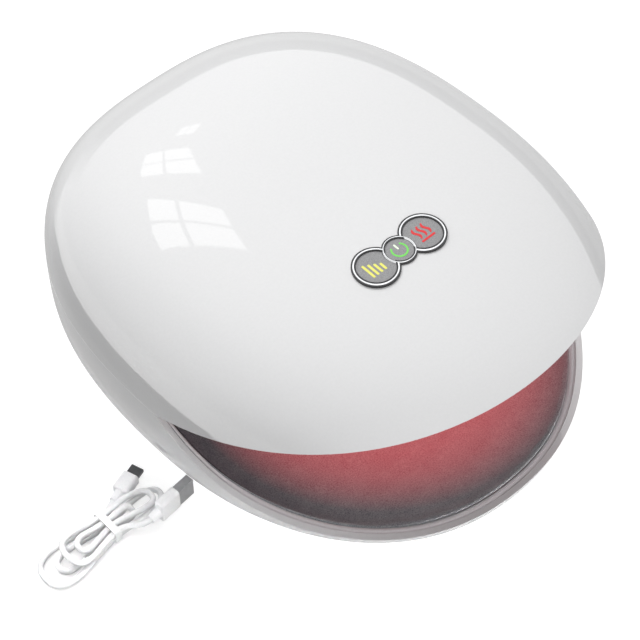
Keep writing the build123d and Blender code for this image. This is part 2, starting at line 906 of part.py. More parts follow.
def link_hose():
    return along_x(fill_valve_x + valve_width, vent_valve_x, link_radius, z=link_z)


def upper_hose():
    """Up from the fill valve and forward over the lining to the upper airbags."""
    y = widest_y + pump_y
    bag_z = upper_bag_z + upper_bag_thickness / 2
    start = (upper_hose_x, y, shelf_z + valve_size + hose_gap)
    end = (upper_hose_x, widest_y + upper_bag_y[-1] + hose_gap, bag_z)
    return hose([start, (upper_hose_x, y, bag_z), end], [3 * hose_radius])


def lower_hose():
    """Forward from the vent valve, down behind the lining and under it to the lower airbags."""
    bag_z = lower_bag_z + lower_bag_thickness / 2
    start_y = widest_y + pump_y - valve_size / 2 - hose_gap
    drop_y = widest_y + slot_back + cloth_thickness + hose_radius + 2 * hose_gap
    end_y = widest_y + lower_bag_y[-1] + hose_gap
    points = [
        (lower_hose_x, start_y, valve_mid_z),
        (lower_hose_x, drop_y, valve_mid_z),
        (lower_hose_x, drop_y, bag_z),
        (lower_hose_x, end_y, bag_z),
    ]
    return hose(points, [hose_radius * 1.2, 2 * hose_radius])


# Charging inlet on its own small board
charge_board_width = 18.0
charge_board_depth = 16.0
port_width = 7.5
port_height = 2.9
port_depth = 5.5
port_wall = 0.35
port_gap = 0.3
port_setback = 0.6


def port_face_y():
    """Just inside the rear wall at the shelf's height."""
    side, front = base_shares(shelf_z - wall)
    return back_length * side - wall - port_gap


def charge_board():
    middle_y = port_face_y() - charge_board_depth / 2
    return block(0, middle_y, shelf_z, charge_board_width, charge_board_depth, board_thickness)


def charge_port():
    z = shelf_z + board_thickness
    y = port_face_y() - port_depth / 2
    can = block(0, y, z, port_width, port_depth, port_height)
    can = fillet(can.edges().filter_by(Axis.Y).group_by(Axis.Z)[0], port_height / 4)
    inner_width = port_width - 2 * port_wall
    inner_height = port_height - 2 * port_wall
    hollow = block(0, y + 2 * port_wall, z + port_wall, inner_width, port_depth, inner_height)
    tongue = block(0, y, z + port_height / 2, port_width / 2, port_depth - port_wall, port_wall * 1.6)
    return can - hollow + tongue


# Charging cable, folded into a hank on the table in front of the body's left side
cord_diameter = 2.6
hank_x = -126.5
hank_y = -8.7
tie_half_width = 4.0
strand_pitch = 3.3
floor_cord_z = 1.35
tied_cord_z = 2.25
layer_height = 3.2
waist_radius = 9.0
lobe_radius_share = 0.8
fold_radius_share = 0.92
least_fold_radius = 2.64
lobe_middle = -0.8
bulge_x = -114.6
raised_cord_z = tied_cord_z + layer_height
inner_strand = strand_pitch / 2
outer_strand = 3 * strand_pitch / 2

# Each pair of strands through the tie, in the order that the cord takes them: offset and height
strand_pairs = (
    (outer_strand, tied_cord_z),
    (inner_strand, tied_cord_z),
    (inner_strand, raised_cord_z),
    (outer_strand, raised_cord_z),
)

# Loops on the far side of the tie: end, half width, height
far_loops = (
    (-160.6, 10.9, floor_cord_z),
    (-153.6, 5.9, floor_cord_z),
    (-143.2, 4.4, raised_cord_z),
    (-149.0, 9.2, raised_cord_z),
)

# Loops on the plugs' side: end, front and back offsets, front and back heights
near_loops = (
    (-100.8, -4.0, 4.0, floor_cord_z, floor_cord_z),
    (-115.4, -2.45, 2.45, tied_cord_z, raised_cord_z),
    (-105.6, -4.4, 3.0, raised_cord_z, raised_cord_z),
)

# Where the first and last of those loops swell round the middle one
near_bulges = ((-5.7, 3.8), None, (-3.8, 5.7))

# Both plugs: where the cord enters, and how far the plug is turned from X
cord_exit = 3.3
micro_entry = (-118.0, -0.3, 3.0)
micro_turn = 18.0
charger_entry = (-113.6, -18.9, 6.0)
charger_turn = 5.0
entry_radius = 7.0


def cord_before(entry, turn):
    """End of the straight run that leaves a plug."""
    x, y, z = entry
    bearing = turn * pi / 180
    return (x - cord_exit * cos(bearing), y - cord_exit * sin(bearing), z)


def cord_corners():
    """Corners of the cord's route and the radius that each would like."""
    start = hank_x - tie_half_width
    end = hank_x + tie_half_width
    corners = [(cord_before(micro_entry, micro_turn), entry_radius)]
    for index, (offset, height) in enumerate(strand_pairs):
        last = index == len(near_loops)
        reach, half, far_z = far_loops[index]
        first_x = hank_x + tie_half_width * 0.4 if index == 0 else end
        corners.append(((first_x, hank_y + offset, height), waist_radius))
        corners.append(((start, hank_y + offset, height), waist_radius))
        for side in (1, -1):
            point = (reach, hank_y + lobe_middle + side * half, far_z)
            corners.append((point, half * lobe_radius_share))
        corners.append(((start, hank_y - offset, height), waist_radius))
        last_x = hank_x + tie_half_width * 0.75 if last else end
        corners.append(((last_x, hank_y - offset, height), waist_radius))
        if last:
            break
        near_x, front, back, front_z, back_z = near_loops[index]
        fold = max(least_fold_radius, (back - front) / 2 * fold_radius_share)
        bulge = near_bulges[index]
        if bulge:
            corners.append(((bulge_x, hank_y + bulge[0], height), waist_radius))
        corners.append(((near_x, hank_y + front, front_z), fold))
        corners.append(((near_x, hank_y + back, back_z), fold))
        if bulge:
            corners.append(((bulge_x, hank_y + bulge[1], height), waist_radius))
    corners.append((cord_before(charger_entry, charger_turn), entry_radius))
    return corners


def cord_path():
    corners = cord_corners()
    points = [Vector(*micro_entry)]
    points += [Vector(*point) for point, radius in corners]
    points.append(Vector(*charger_entry))
    radii = []
    for index, (point, radius) in enumerate(corners):
        run_in = points[index + 1] - points[index]
        run_out = points[index + 2] - points[index + 1]
        half_turn = run_in.get_angle(run_out) * pi / 360
        room = 0.49 * min(run_in.length, run_out.length) / tan(half_turn)
        radii.append(min(radius, room))
    print("cord radii", [round(r, 1) for r in radii])
    return FilletPolyline(*points, radius=radii)


def least_self_gap(path, diameter):
    """Least gap between stretches of the cord that are not neighbours along it."""
    steps = int(path.length / diameter * 4)
    points = [path @ (step / steps) for step in range(steps + 1)]
    skip = int(2.5 * 4)
    least = path.length
    for index, point in enumerate(points):
        for other in points[index + skip:]:
            least = min(least, (point - other).length)
    return least - diameter


def cable_hank():
    path = cord_path()
    start = Plane(origin=path @ 0, z_dir=path % 0)
    tube = sweep(start * Circle(cord_diameter / 2), path=path)
    expected = pi * cord_diameter ** 2 / 4 * path.length
    print("cord length", round(path.length, 1), "volume share", round(tube.volume / expected, 4))
    print("cord least gap", round(least_self_gap(path, cord_diameter), 2))
    return tube


tie_length = 3.0
tie_setback = 1.2
tie_thickness = 0.8
tie_gap = 0.12


def cable_tie():
    """Band round all eight strands."""
    width = 2 * outer_strand + cord_diameter + 2 * tie_gap
    low = tied_cord_z - cord_diameter / 2 - tie_gap
    height = layer_height + cord_diameter + 2 * tie_gap
    start_x = hank_x - tie_setback - tie_length / 2
    middle = Plane(origin=(start_x, hank_y, low + height / 2), x_dir=(0, 1, 0), z_dir=(1, 0, 0))
    inner = RectangleRounded(width, height, cord_diameter / 2)
    grow = 2 * tie_thickness
    outer = RectangleRounded(width + grow, height + grow, cord_diameter / 2 + tie_thickness)
    return extrude(middle * (outer - inner), tie_length)


neck_length = 4.6
neck_radius = 1.9
micro_grip = (9.0, 7.2, 5.6)
micro_tip = (5.0, 5.6, 1.8)
charger_grip = (10.0, 4.8, 11.4)
charger_shell = (8.4, 3.8, 10.0)
shell_wall = 0.3


def plug_frame(entry, turn):
    """Frame at the cord's entry, X along the plug."""
    bearing = turn * pi / 180
    return Plane(origin=entry, x_dir=(cos(bearing), sin(bearing), 0), z_dir=(0, 0, 1))


def plug_grip(entry, turn, size):
    length, width, height = size
    grip = Location((neck_length + length / 2, 0, 0)) * Box(length, width, height)
    grip = fillet(grip.edges().filter_by(Axis.X), min(width, height) / 4)
    ends = grip.edges().filter_by(GeomType.CIRCLE, reverse=True).group_by(Axis.X)
    grip = fillet(ends[0], min(width, height) / 6)
    neck = Location((neck_length / 2, 0, 0)) * Rotation(0, 90, 0) * Cone(
        neck_radius, neck_radius * 1.2, neck_length
    )
    return plug_frame(entry, turn) * (grip + neck)


def plug_shell(entry, turn, grip, size):
    length, width, height = size
    start = neck_length + grip[0]
    shell = Location((start + length / 2, 0, 0)) * Box(length, width, height)
    hollow = Location((start + length / 2 + shell_wall, 0, 0)) * Box(
        length, width - 2 * shell_wall, height - 2 * shell_wall
    )
    return plug_frame(entry, turn) * (shell - hollow)


def micro_plug():
    return plug_grip(micro_entry, micro_turn, micro_grip)


def micro_plug_tip():
    return plug_shell(micro_entry, micro_turn, micro_grip, micro_tip)


def charger_plug():
    return plug_grip(charger_entry, charger_turn, charger_grip)


def charger_plug_shell():
    return plug_shell(charger_entry, charger_turn, charger_grip, charger_shell)


parts = {
    "base_shell": base_shell,
    "top_shell": top_shell,
    "button_bezel": button_bezel,
    "intensity_button": lambda: button(button_xs[0]),
    "power_button": lambda: button(button_xs[1]),
    "heat_button": lambda: button(button_xs[2]),
    "intensity_switch_plunger": lambda: switch_plunger(button_xs[0]),
    "power_switch_plunger": lambda: switch_plunger(button_xs[1]),
    "heat_switch_plunger": lambda: switch_plunger(button_xs[2]),
    "button_board": button_board,
    "switches": switches,
    "board_screws": board_screws,
    "case_screws": case_screws,
    "upper_frame_screws": upper_frame_screws,
    "lower_frame_screws": lower_frame_screws,
    "feet": feet,
    "lower_mouth_trim": lower_mouth_trim,
    "upper_mouth_trim": upper_mouth_trim,
    "lower_lining": lower_lining,
    "upper_lining": upper_lining,
    "upper_frame": upper_frame,
    "lower_frame": lower_frame,
    "upper_airbag": upper_airbag,
    "lower_airbag": lower_airbag,
    "heating_film": heating_film,
    "main_board": main_board,
    "board_parts": board_parts,
    "main_board_screws": main_board_screws,
    "battery_cells": battery_cells,
    "battery_cradle": battery_cradle,
    "pump_can": pump_can,
    "pump_magnets": pump_magnets,
    "pump_rotor": pump_rotor,
    "pump_head": pump_head,
    "pump_diaphragm": pump_diaphragm,
    "pump_cap": pump_cap,
    "fill_valve": lambda: valve_body(fill_valve_x, True),
    "fill_valve_plunger": lambda: valve_plunger(fill_valve_x),
    "vent_valve": lambda: valve_body(vent_valve_x, False),
    "vent_valve_plunger": lambda: valve_plunger(vent_valve_x),
    "pump_hose": pump_hose,
    "link_hose": link_hose,
    "upper_hose": upper_hose,
    "lower_hose": lower_hose,
    "charge_board": charge_board,
    "charge_port": charge_port,
    "cable_hank": cable_hank,
    "cable_tie": cable_tie,
    "micro_plug": micro_plug,
    "micro_plug_tip": micro_plug_tip,
    "charger_plug": charger_plug,
    "charger_plug_shell": charger_plug_shell,
}

os.makedirs("parts", exist_ok=True)
for name, make in parts.items():
    solid = make()
    export_step(solid, "parts/" + name + ".step")
    print(name, round(solid.volume), [round(v, 1) for v in solid.bounding_box().size])
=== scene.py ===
import bpy
import json
from math import cos, pi, radians, sin
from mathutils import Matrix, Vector


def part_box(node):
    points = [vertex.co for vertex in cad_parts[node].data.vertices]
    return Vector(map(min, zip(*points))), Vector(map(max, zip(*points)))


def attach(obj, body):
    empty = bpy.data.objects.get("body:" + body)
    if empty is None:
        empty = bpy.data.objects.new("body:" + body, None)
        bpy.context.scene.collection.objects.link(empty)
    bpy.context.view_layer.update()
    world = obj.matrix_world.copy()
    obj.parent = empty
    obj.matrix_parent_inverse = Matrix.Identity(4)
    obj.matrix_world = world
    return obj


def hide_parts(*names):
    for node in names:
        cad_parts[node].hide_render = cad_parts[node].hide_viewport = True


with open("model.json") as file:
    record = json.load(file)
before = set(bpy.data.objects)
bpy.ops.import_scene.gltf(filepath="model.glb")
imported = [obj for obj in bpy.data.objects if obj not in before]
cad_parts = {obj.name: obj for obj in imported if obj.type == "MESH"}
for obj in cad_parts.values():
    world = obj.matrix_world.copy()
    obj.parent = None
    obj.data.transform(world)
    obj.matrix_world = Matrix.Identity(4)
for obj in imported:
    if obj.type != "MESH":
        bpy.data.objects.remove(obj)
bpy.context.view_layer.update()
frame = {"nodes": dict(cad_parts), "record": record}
nodes = frame["nodes"]
MM = 0.001


def clear_selection():
    bpy.ops.object.select_all(action="DESELECT")


def take(piece):
    """Make one piece the only selected and active one."""
    clear_selection()
    piece.select_set(True)
    bpy.context.view_layer.objects.active = piece


def fix_in_place():
    """Bake the active piece's place and scale into its mesh."""
    bpy.ops.object.transform_apply(location=True, rotation=True, scale=True)


def open_mesh():
    """Edit the active mesh with all of it selected."""
    bpy.ops.object.mode_set(mode="EDIT")
    bpy.ops.mesh.select_all(action="SELECT")


def pick_by(kind):
    """Clear the active mesh's selection, ready for edges or faces to be picked."""
    bpy.ops.object.mode_set(mode="EDIT")
    bpy.ops.mesh.select_all(action="DESELECT")
    bpy.ops.mesh.select_mode(type=kind)
    bpy.ops.object.mode_set(mode="OBJECT")


def face_outwards():
    """Turn all faces of the open mesh outwards and stop editing it."""
    bpy.ops.mesh.select_all(action="SELECT")
    bpy.ops.mesh.normals_make_consistent(inside=False)
    bpy.ops.object.mode_set(mode="OBJECT")


def aim(place, target):
    """Rotation that turns a camera or a lamp at one place towards another."""
    return (Vector(target) - Vector(place)).to_track_quat("-Z", "Y").to_euler()


# The photograph's viewpoint: places and lens in millimetres, nearest sight in metres
camera_place = (-352.43, -375.55, 691.83)
camera_target = (-11.51, -10.32, 40.0)
camera_lens = 111.09
sensor_width = 36.0
nearest_sight = 0.01


def set_camera():
    place = Vector(camera_place) * MM
    clear_selection()
    bpy.ops.object.camera_add(location=place)
    camera = bpy.context.object
    camera.name = "photo_camera"
    camera.rotation_euler = aim(place, Vector(camera_target) * MM)
    camera.data.sensor_width = sensor_width
    camera.data.lens = camera_lens
    camera.data.clip_start = nearest_sight
    bpy.context.scene.camera = camera


set_camera()

coat_roughness = 0.03
# Where a grain's noise has its darker and its paler colour in full
grain_dark_at = 0.35
grain_pale_at = 0.65
# How dark a finish's own colour gets in its grain, and how its roughness varies there
print_dark_share = 0.92
plain_dark_share = 0.88
plain_smoother = 0.05
plain_rougher = 0.08


def new_finish(name, colour, roughness, metal=0.0, coat=0.0, sheen=0.0):
    """A finish whose steady values sit on the shader itself."""
    finish = bpy.data.materials.new(name)
    finish.use_nodes = True
    shader = finish.node_tree.nodes["Principled BSDF"]
    shader.inputs["Base Color"].default_value = (*colour, 1.0)
    shader.inputs["Roughness"].default_value = roughness
    shader.inputs["Metallic"].default_value = metal
    shader.inputs["Coat Weight"].default_value = coat
    shader.inputs["Coat Roughness"].default_value = coat_roughness
    shader.inputs["Sheen Weight"].default_value = sheen
    return finish, shader


def add_node(finish, kind, **values):
    """New node in a finish, or in the world, with values on its sockets or itself."""
    node = finish.node_tree.nodes.new(kind)
    for key, value in values.items():
        if key in node.inputs:
            node.inputs[key].default_value = value
        else:
            setattr(node, key, value)
    return node


def link(finish, out, into):
    finish.node_tree.links.new(out, into)


def object_place(finish):
    return add_node(finish, "ShaderNodeTexCoord").outputs["Object"]


def chain(finish, operation, *values):
    """One sum, product or the like; a plain number goes straight to its socket."""
    node = add_node(finish, "ShaderNodeMath", operation=operation)
    for socket, value in zip(node.inputs, values):
        if isinstance(value, float):
            socket.default_value = value
        else:
            link(finish, value, socket)
    return node.outputs["Value"]


def stretch(finish, value, change):
    """Map one range of a value onto another, held at its ends."""
    (low, high), (to_low, to_high) = change
    node = add_node(finish, "ShaderNodeMapRange")
    link(finish, value, node.inputs["Value"])
    node.inputs["From Min"].default_value = low
    node.inputs["From Max"].default_value = high
    node.inputs["To Min"].default_value = to_low
    node.inputs["To Max"].default_value = to_high
    return node.outputs["Result"]


def axes(finish, place):
    """The three parts of a place or a direction."""
    parts = add_node(finish, "ShaderNodeSeparateXYZ")
    link(finish, place, parts.inputs["Vector"])
    return parts.outputs["X"], parts.outputs["Y"], parts.outputs["Z"]


def ray_kinds(finish):
    """Two values: 1 for the camera's own rays, and 1 for rays off a glossy surface."""
    path = add_node(finish, "ShaderNodeLightPath")
    return path.outputs["Is Camera Ray"], path.outputs["Is Glossy Ray"]


def noise_amount(finish, place, **values):
    noise = add_node(finish, "ShaderNodeTexNoise", **values)
    link(finish, place, noise.inputs["Vector"])
    return noise.outputs["Fac"]


def blend(finish, amount, dark, pale):
    """Blend two colours; each comes after the amount at which it shows in full."""
    ramp = add_node(finish, "ShaderNodeValToRGB")
    for step, (position, colour) in zip(ramp.color_ramp.elements, (dark, pale)):
        step.position = position
        step.color = (*colour, 1.0)
    link(finish, amount, ramp.inputs["Fac"])
    return ramp.outputs["Color"]


def raise_grain(finish, shader, amount, strength, depth):
    """Let an amount lift the surface, by up to a depth in metres."""
    height = add_node(finish, "ShaderNodeBump", Strength=strength, Distance=depth)
    link(finish, amount, height.inputs["Height"])
    link(finish, height.outputs["Normal"], shader.inputs["Normal"])


def add_grain(finish, shader, colours, scale, rough, bump, depth):
    """Fine moulded grain: a little colour, roughness and height from one noise."""
    place = object_place(finish)
    grain = noise_amount(finish, place, Scale=scale, Detail=6.0, Roughness=0.6)
    dark, pale = colours
    colour = blend(finish, grain, (grain_dark_at, dark), (grain_pale_at, pale))
    link(finish, colour, shader.inputs["Base Color"])
    roughness = stretch(finish, grain, ((0.0, 1.0), rough))
    link(finish, roughness, shader.inputs["Roughness"])
    raise_grain(finish, shader, grain, bump, depth)


def gloss_white():
    finish, shader = new_finish("gloss_white_shell", (0.80, 0.80, 0.802), roughness=0.35, coat=1.0)
    shader.inputs["Coat IOR"].default_value = 1.9
    colours = ((0.79, 0.79, 0.792), (0.81, 0.81, 0.812))
    add_grain(finish, shader, colours, scale=900.0, rough=(0.32, 0.38), bump=0.02, depth=0.00001)
    return finish


def satin_grey(name, dark, pale):
    finish, shader = new_finish(name, pale, roughness=0.4, coat=0.2)
    colours = (dark, pale)
    add_grain(finish, shader, colours, scale=1500.0, rough=(0.34, 0.44), bump=0.05, depth=0.00002)
    return finish


def chrome():
    finish, shader = new_finish("chrome_ring", (0.86, 0.87, 0.88), roughness=0.08, metal=1.0)
    colours = ((0.82, 0.83, 0.84), (0.88, 0.89, 0.9))
    add_grain(finish, shader, colours, scale=600.0, rough=(0.05, 0.12), bump=0.02, depth=0.00001)
    return finish


def speckled_grey():
    """Dark grey faces with a fine pale fleck."""
    grey = (0.2, 0.2, 0.205)
    finish, shader = new_finish("speckled_button_face", grey, roughness=0.35, coat=0.4)
    fleck = noise_amount(finish, object_place(finish), Scale=2600.0, Detail=3.0)
    dark = (0.42, (0.26, 0.26, 0.265))
    pale = (0.66, (0.37, 0.37, 0.375))
    colour = blend(finish, fleck, dark, pale)
    link(finish, colour, shader.inputs["Base Color"])
    raise_grain(finish, shader, fleck, strength=0.1, depth=0.00003)
    return finish


def glowing_print(name, colour, strength):
    finish, shader = new_finish(name, colour, roughness=0.4)
    colours = (tuple(value * print_dark_share for value in colour), colour)
    add_grain(finish, shader, colours, scale=3000.0, rough=(0.35, 0.45), bump=0.05, depth=0.00001)
    shader.inputs["Emission Color"].default_value = (*colour, 1.0)
    shader.inputs["Emission Strength"].default_value = strength
    return finish


# Painted glow on the cloth, in metres: emission that stands for the heater's red light, its middle
# is under the lip, just over the floor
glow_middle = (0.012, -0.02, 0.01)
glow_radius = 0.088
# Colour of the painted glow at and past the ball's rim: a faint grey lift of the cloth out of its
# shade
painted_shade_lift = (0.010, 0.017, 0.020)
painted_red_glow = (0.45, 0.035, 0.045)
glow_strength = 1.0
# Share of the way in from the rim, and how much of the red shows there
glow_steps = ((0.05, 0.13), (0.1, 0.28), (0.2, 0.58), (0.32, 0.8), (0.6, 0.93))
# How much the broad nap of the cloth adds to its fine fleck
nap_share = 0.25


def painted_heater_glow(finish, place):
    """Painted red glow: a ball of emission that fades out towards its rim and stays a faint grey
    glow past it.
    """
    reach = 1 / glow_radius
    centred = add_node(finish, "ShaderNodeMapping")
    centred.inputs["Location"].default_value = [-part * reach for part in glow_middle]
    centred.inputs["Scale"].default_value = (reach, reach, reach)
    link(finish, place, centred.inputs["Vector"])
    ball = add_node(finish, "ShaderNodeTexGradient", gradient_type="SPHERICAL")
    link(finish, centred.outputs["Vector"], ball.inputs["Vector"])
    warm = add_node(finish, "ShaderNodeValToRGB")
    warm.color_ramp.elements[0].color = (*painted_shade_lift, 1.0)
    warm.color_ramp.elements[1].color = (*painted_red_glow, 1.0)
    for position, share in glow_steps:
        step = warm.color_ramp.elements.new(position)
        mixed = [rim + (red - rim) * share for rim, red in zip(painted_shade_lift, painted_red_glow)]
        step.color = (*mixed, 1.0)
    link(finish, ball.outputs["Fac"], warm.inputs["Fac"])
    return warm.outputs["Color"]


def lining_cloth(name):
    """Charcoal brushed cloth with a frosted fleck; the heater's red light on it is painted glow,
    with a faint painted lift out of its shade.
    """
    finish, shader = new_finish(name, (0.2, 0.2, 0.205), roughness=0.85, sheen=0.3)
    place = object_place(finish)
    fleck = noise_amount(finish, place, Scale=1900.0, Detail=2.0, Roughness=0.7)
    nap = noise_amount(finish, place, Scale=120.0, Detail=3.0)
    both = chain(finish, "MULTIPLY_ADD", nap, nap_share, fleck)
    dark = (0.4, (0.125, 0.125, 0.13))
    pale = (0.85, (0.43, 0.415, 0.425))
    colour = blend(finish, both, dark, pale)
    link(finish, colour, shader.inputs["Base Color"])
    raise_grain(finish, shader, fleck, strength=0.35, depth=0.0003)
    # Painted glow: emission for the heater's red light and for a lift of the shaded cloth
    link(finish, painted_heater_glow(finish, place), shader.inputs["Emission Color"])
    shader.inputs["Emission Strength"].default_value = glow_strength
    return finish


def cord_jacket():
    finish, shader = new_finish("cord_jacket", (0.78, 0.78, 0.785), roughness=0.45, coat=0.3)
    colours = ((0.76, 0.76, 0.77), (0.8, 0.8, 0.805))
    add_grain(finish, shader, colours, scale=900.0, rough=(0.38, 0.5), bump=0.08, depth=0.00003)
    return finish


def plain_finish(name, colour, roughness, metal=0.0):
    finish, shader = new_finish(name, colour, roughness, metal=metal)
    colours = (tuple(value * plain_dark_share for value in colour), colour)
    rough = (roughness - plain_smoother, roughness + plain_rougher)
    add_grain(finish, shader, colours, scale=500.0, rough=rough, bump=0.1, depth=0.00004)
    return finish


white_shell = gloss_white()
# Pale grey trim; its pink tint is painted red glow from the heater
trim_finish = satin_grey("mouth_trim_grey", (0.76, 0.72, 0.735), (0.82, 0.78, 0.795))
chrome_finish = chrome()
face_finish = speckled_grey()
cloth_finish = lining_cloth("slot_cloth")
ceiling_finish = lining_cloth("slot_ceiling_cloth")
cord_finish = cord_jacket()
grip_finish = satin_grey("plug_grip_white", (0.84, 0.84, 0.85), (0.9, 0.9, 0.91))
steel_finish = plain_finish("plated_steel", (0.62, 0.62, 0.62), roughness=0.3, metal=1.0)
dark_plug_metal = plain_finish("dark_plug_metal", (0.12, 0.12, 0.125), roughness=0.35, metal=1.0)
plug_metal = plain_finish("plug_metal", (0.45, 0.45, 0.46), roughness=0.3, metal=1.0)
inner_finish = plain_finish("inner_moulding", (0.62, 0.62, 0.6), roughness=0.5)
# Black moulding, also used for the dark strips and rings of painted shade
black_and_shade_finish = plain_finish("black_moulding_and_painted_shade", (0.03, 0.03, 0.032), roughness=0.45)
board_finish = plain_finish("circuit_board", (0.02, 0.17, 0.07), roughness=0.4)
bag_finish = plain_finish("airbag_film", (0.2, 0.21, 0.23), roughness=0.5)
heater_finish = plain_finish("heater_film", (0.5, 0.2, 0.05), roughness=0.4)
cell_finish = plain_finish("cell_sleeve", (0.03, 0.14, 0.4), roughness=0.3)
rubber_finish = plain_finish("foot_rubber", (0.09, 0.09, 0.095), roughness=0.7)
hose_finish = plain_finish("silicone_hose", (0.6, 0.6, 0.58), roughness=0.4)

slot_finish = {
    "shell": white_shell,
    "trim": trim_finish,
    "lining": cloth_finish,
    "bright_metal": chrome_finish,
    "button_face": face_finish,
    "inner_plastic": inner_finish,
    "black_plastic": black_and_shade_finish,
    "circuit_board": board_finish,
    "airbag_film": bag_finish,
    "heater": heater_finish,
    "cell_sleeve": cell_finish,
    "steel": steel_finish,
    "rubber": rubber_finish,
    "hose_rubber": hose_finish,
    "cord": grip_finish,
}


def paint(piece, finish):
    piece.data.materials.clear()
    piece.data.materials.append(finish)


for part in frame["record"]["subparts"]:
    paint(nodes[part["node"]], slot_finish[part["material_slot"]])
paint(nodes["micro_plug_tip"], dark_plug_metal)
paint(nodes["charger_plug_shell"], plug_metal)


line_roundness = 5
line_order = 3


def round_line(name, half_width, places, smoothness):
    """Smooth round line along a row of places, all in millimetres."""
    line = bpy.data.curves.new(name, "CURVE")
    line.dimensions = "3D"
    line.bevel_depth = half_width * MM
    line.bevel_resolution = line_roundness
    line.resolution_u = smoothness
    line.use_fill_caps = True
    spline = line.splines.new("NURBS")
    spline.points.add(len(places) - 1)
    for point, place in zip(spline.points, places):
        point.co = (*(Vector(place) * MM), 1.0)
    spline.order_u = line_order
    spline.use_endpoint_u = True
    piece = bpy.data.objects.new(name, line)
    bpy.context.scene.collection.objects.link(piece)
    return piece


# The cable, in millimetres: the tie's two ends, the four runs through it from back to
# front, and the heights of the plugs' ends, the table, the lower and the upper layer
tie_left = -130.5
tie_right = -122.5
back_run = -3.75
inner_back_run = -7.05
inner_front_run = -10.35
front_run = -13.65
micro_end = 3.0
charger_end = 6.0
on_table = 1.35
low_layer = 2.25
high_layer = 5.45
cord_route = [
    (-118.0, -0.3, micro_end),
    (-121.14, -1.32, micro_end),
    (-124.9, back_run, low_layer),
    (tie_left, back_run, low_layer),
    (-160.6, 1.4, on_table),
    (-160.6, -20.4, on_table),
    (tie_left, front_run, low_layer),
    (tie_right, front_run, low_layer),
    (-114.6, -14.4, low_layer),
    (-100.8, -12.7, on_table),
    (-100.8, -4.7, on_table),
    (-114.6, -4.9, low_layer),
    (tie_right, inner_back_run, low_layer),
    (tie_left, inner_back_run, low_layer),
    (-153.6, -3.6, on_table),
    (-153.6, -15.4, on_table),
    (tie_left, inner_front_run, low_layer),
    (tie_right, inner_front_run, low_layer),
    (-115.4, -11.15, low_layer),
    (-115.4, -6.25, high_layer),
    (tie_right, inner_back_run, high_layer),
    (tie_left, inner_back_run, high_layer),
    (-143.2, -5.1, high_layer),
    (-143.2, -13.9, high_layer),
    (tie_left, inner_front_run, high_layer),
    (tie_right, inner_front_run, high_layer),
    (-114.6, -12.5, high_layer),
    (-105.6, -13.1, high_layer),
    (-105.6, -5.7, high_layer),
    (-114.6, -3.0, high_layer),
    (tie_right, back_run, high_layer),
    (tie_left, back_run, high_layer),
    (-149.0, -0.3, high_layer),
    (-149.0, -18.7, high_layer),
    (tie_left, front_run, high_layer),
    (-123.5, front_run, high_layer),
    (-116.89, -19.19, charger_end),
    (-113.6, -18.9, charger_end),
]
cord_diameter = 2.6
cord_smoothness = 8


def make_cable():
    cable = round_line("charging_cable", cord_diameter / 2, cord_route, cord_smoothness)
    cable.data.materials.append(cord_finish)
    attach(cable, "body")
    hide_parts("cable_hank")


make_cable()


# Outline of the two shells, in millimetres, about their widest line
half_width = 100.0
front_length = 111.0
dome_front_length = 140.0
body_height = 105.0
widest_y = -5.5
widest_z = 49.0
seam_z = 58.0
foot_height = 2.0
back_power = 2.6
base_power = 2.15
dome_power = 2.0

# How the walls draw in: the base's towards its foot, the dome's towards its crown
side_foot_share = 0.60
side_tuck_power = 2.8
front_foot_share = 0.72
front_tuck_power = 2.0
crown_power = 3.5
crown_round_power = 3.2

# Mouth: its corner, the lip that sweeps up and the rim that sweeps down
corner_y = widest_y - 5.0
lip_run = 130.0
lip_rise = 45.2
lip_bend_rise = 25.1
rim_run = 115.0
rim_z = 19.8
rim_bend_z = 16.5

# The cloth's own sizes
cloth_inset = 7.7
slot_back = 72.0
slot_floor_z = 14.6
knee_z = 20.4
ceiling_z = 72.0
ceiling_over_lip = 2.3
cloth_tuck = 0.9
cloth_thickness = 1.5
cloth_columns = 144
corner_fade = 60.0
rim_push = 1.4
corner_push = 3.9
edge_under_seam = 0.4
edge_over_seam = 0.5
edge_turned_out = 0.5
least_side = 0.4
wrinkle_depth = 0.35
wrinkle_count = 37
wrinkle_drift = 2
wrinkle_drift_count = 5

# Rows of the cloth: levels up its sides, bends round its corner, shares of the flat part
floor_levels = (1.0, 0.96, 0.85, 0.7, 0.55, 0.4, 0.25, 0.12, 0.0)
ceiling_levels = (0.0, 0.04, 0.3, 0.6, 1.0)
bends = (0.2, 0.4, 0.6, 0.8, 1.0)
floor_shares = (0.66, 0.56)
ceiling_shares = (0.8, 0.66, 0.52)
floor_round_share = 0.26
ceiling_round_share = 0.08
ceiling_round = 7.0

# Cushions of the two air chambers that lie side by side behind the cloth
swell_height = 1.1
swell_power = 0.8
chamber_x = 27.0
chamber_width = 54.0
chamber_y = -8.0
chamber_half_length = 62.0
ceiling_flat_front = -70.0
ceiling_flat_back = 55.0
floor_band = 0.5

settling_steps = 12
slot_above = 1
slot_below = -1
turns = [2 * pi * (step + 0.5) / cloth_columns for step in range(cloth_columns)]


def outline_point(turn, width, front, back, front_power):
    """Point of a rounded outline whose front and back have their own length and power."""
    power = front_power if sin(turn) < 0 else back_power
    reach = front if sin(turn) < 0 else back
    x = width * abs(cos(turn)) ** (2 / power) * (1 if cos(turn) > 0 else -1)
    y = reach * abs(sin(turn)) ** (2 / power) * (1 if sin(turn) > 0 else -1)
    return x, widest_y + y


def tuck_share(z, top_z, foot_share, power):
    depth = max(0.0, top_z - z) / (top_z - foot_height)
    return foot_share + (1 - foot_share) * max(0.0, 1 - depth ** power) ** 0.5


def base_reach(z, inset=cloth_inset):
    width = half_width * tuck_share(z, widest_z, side_foot_share, side_tuck_power) - inset
    front = front_length * tuck_share(z, rim_z, front_foot_share, front_tuck_power) - inset
    return width, front


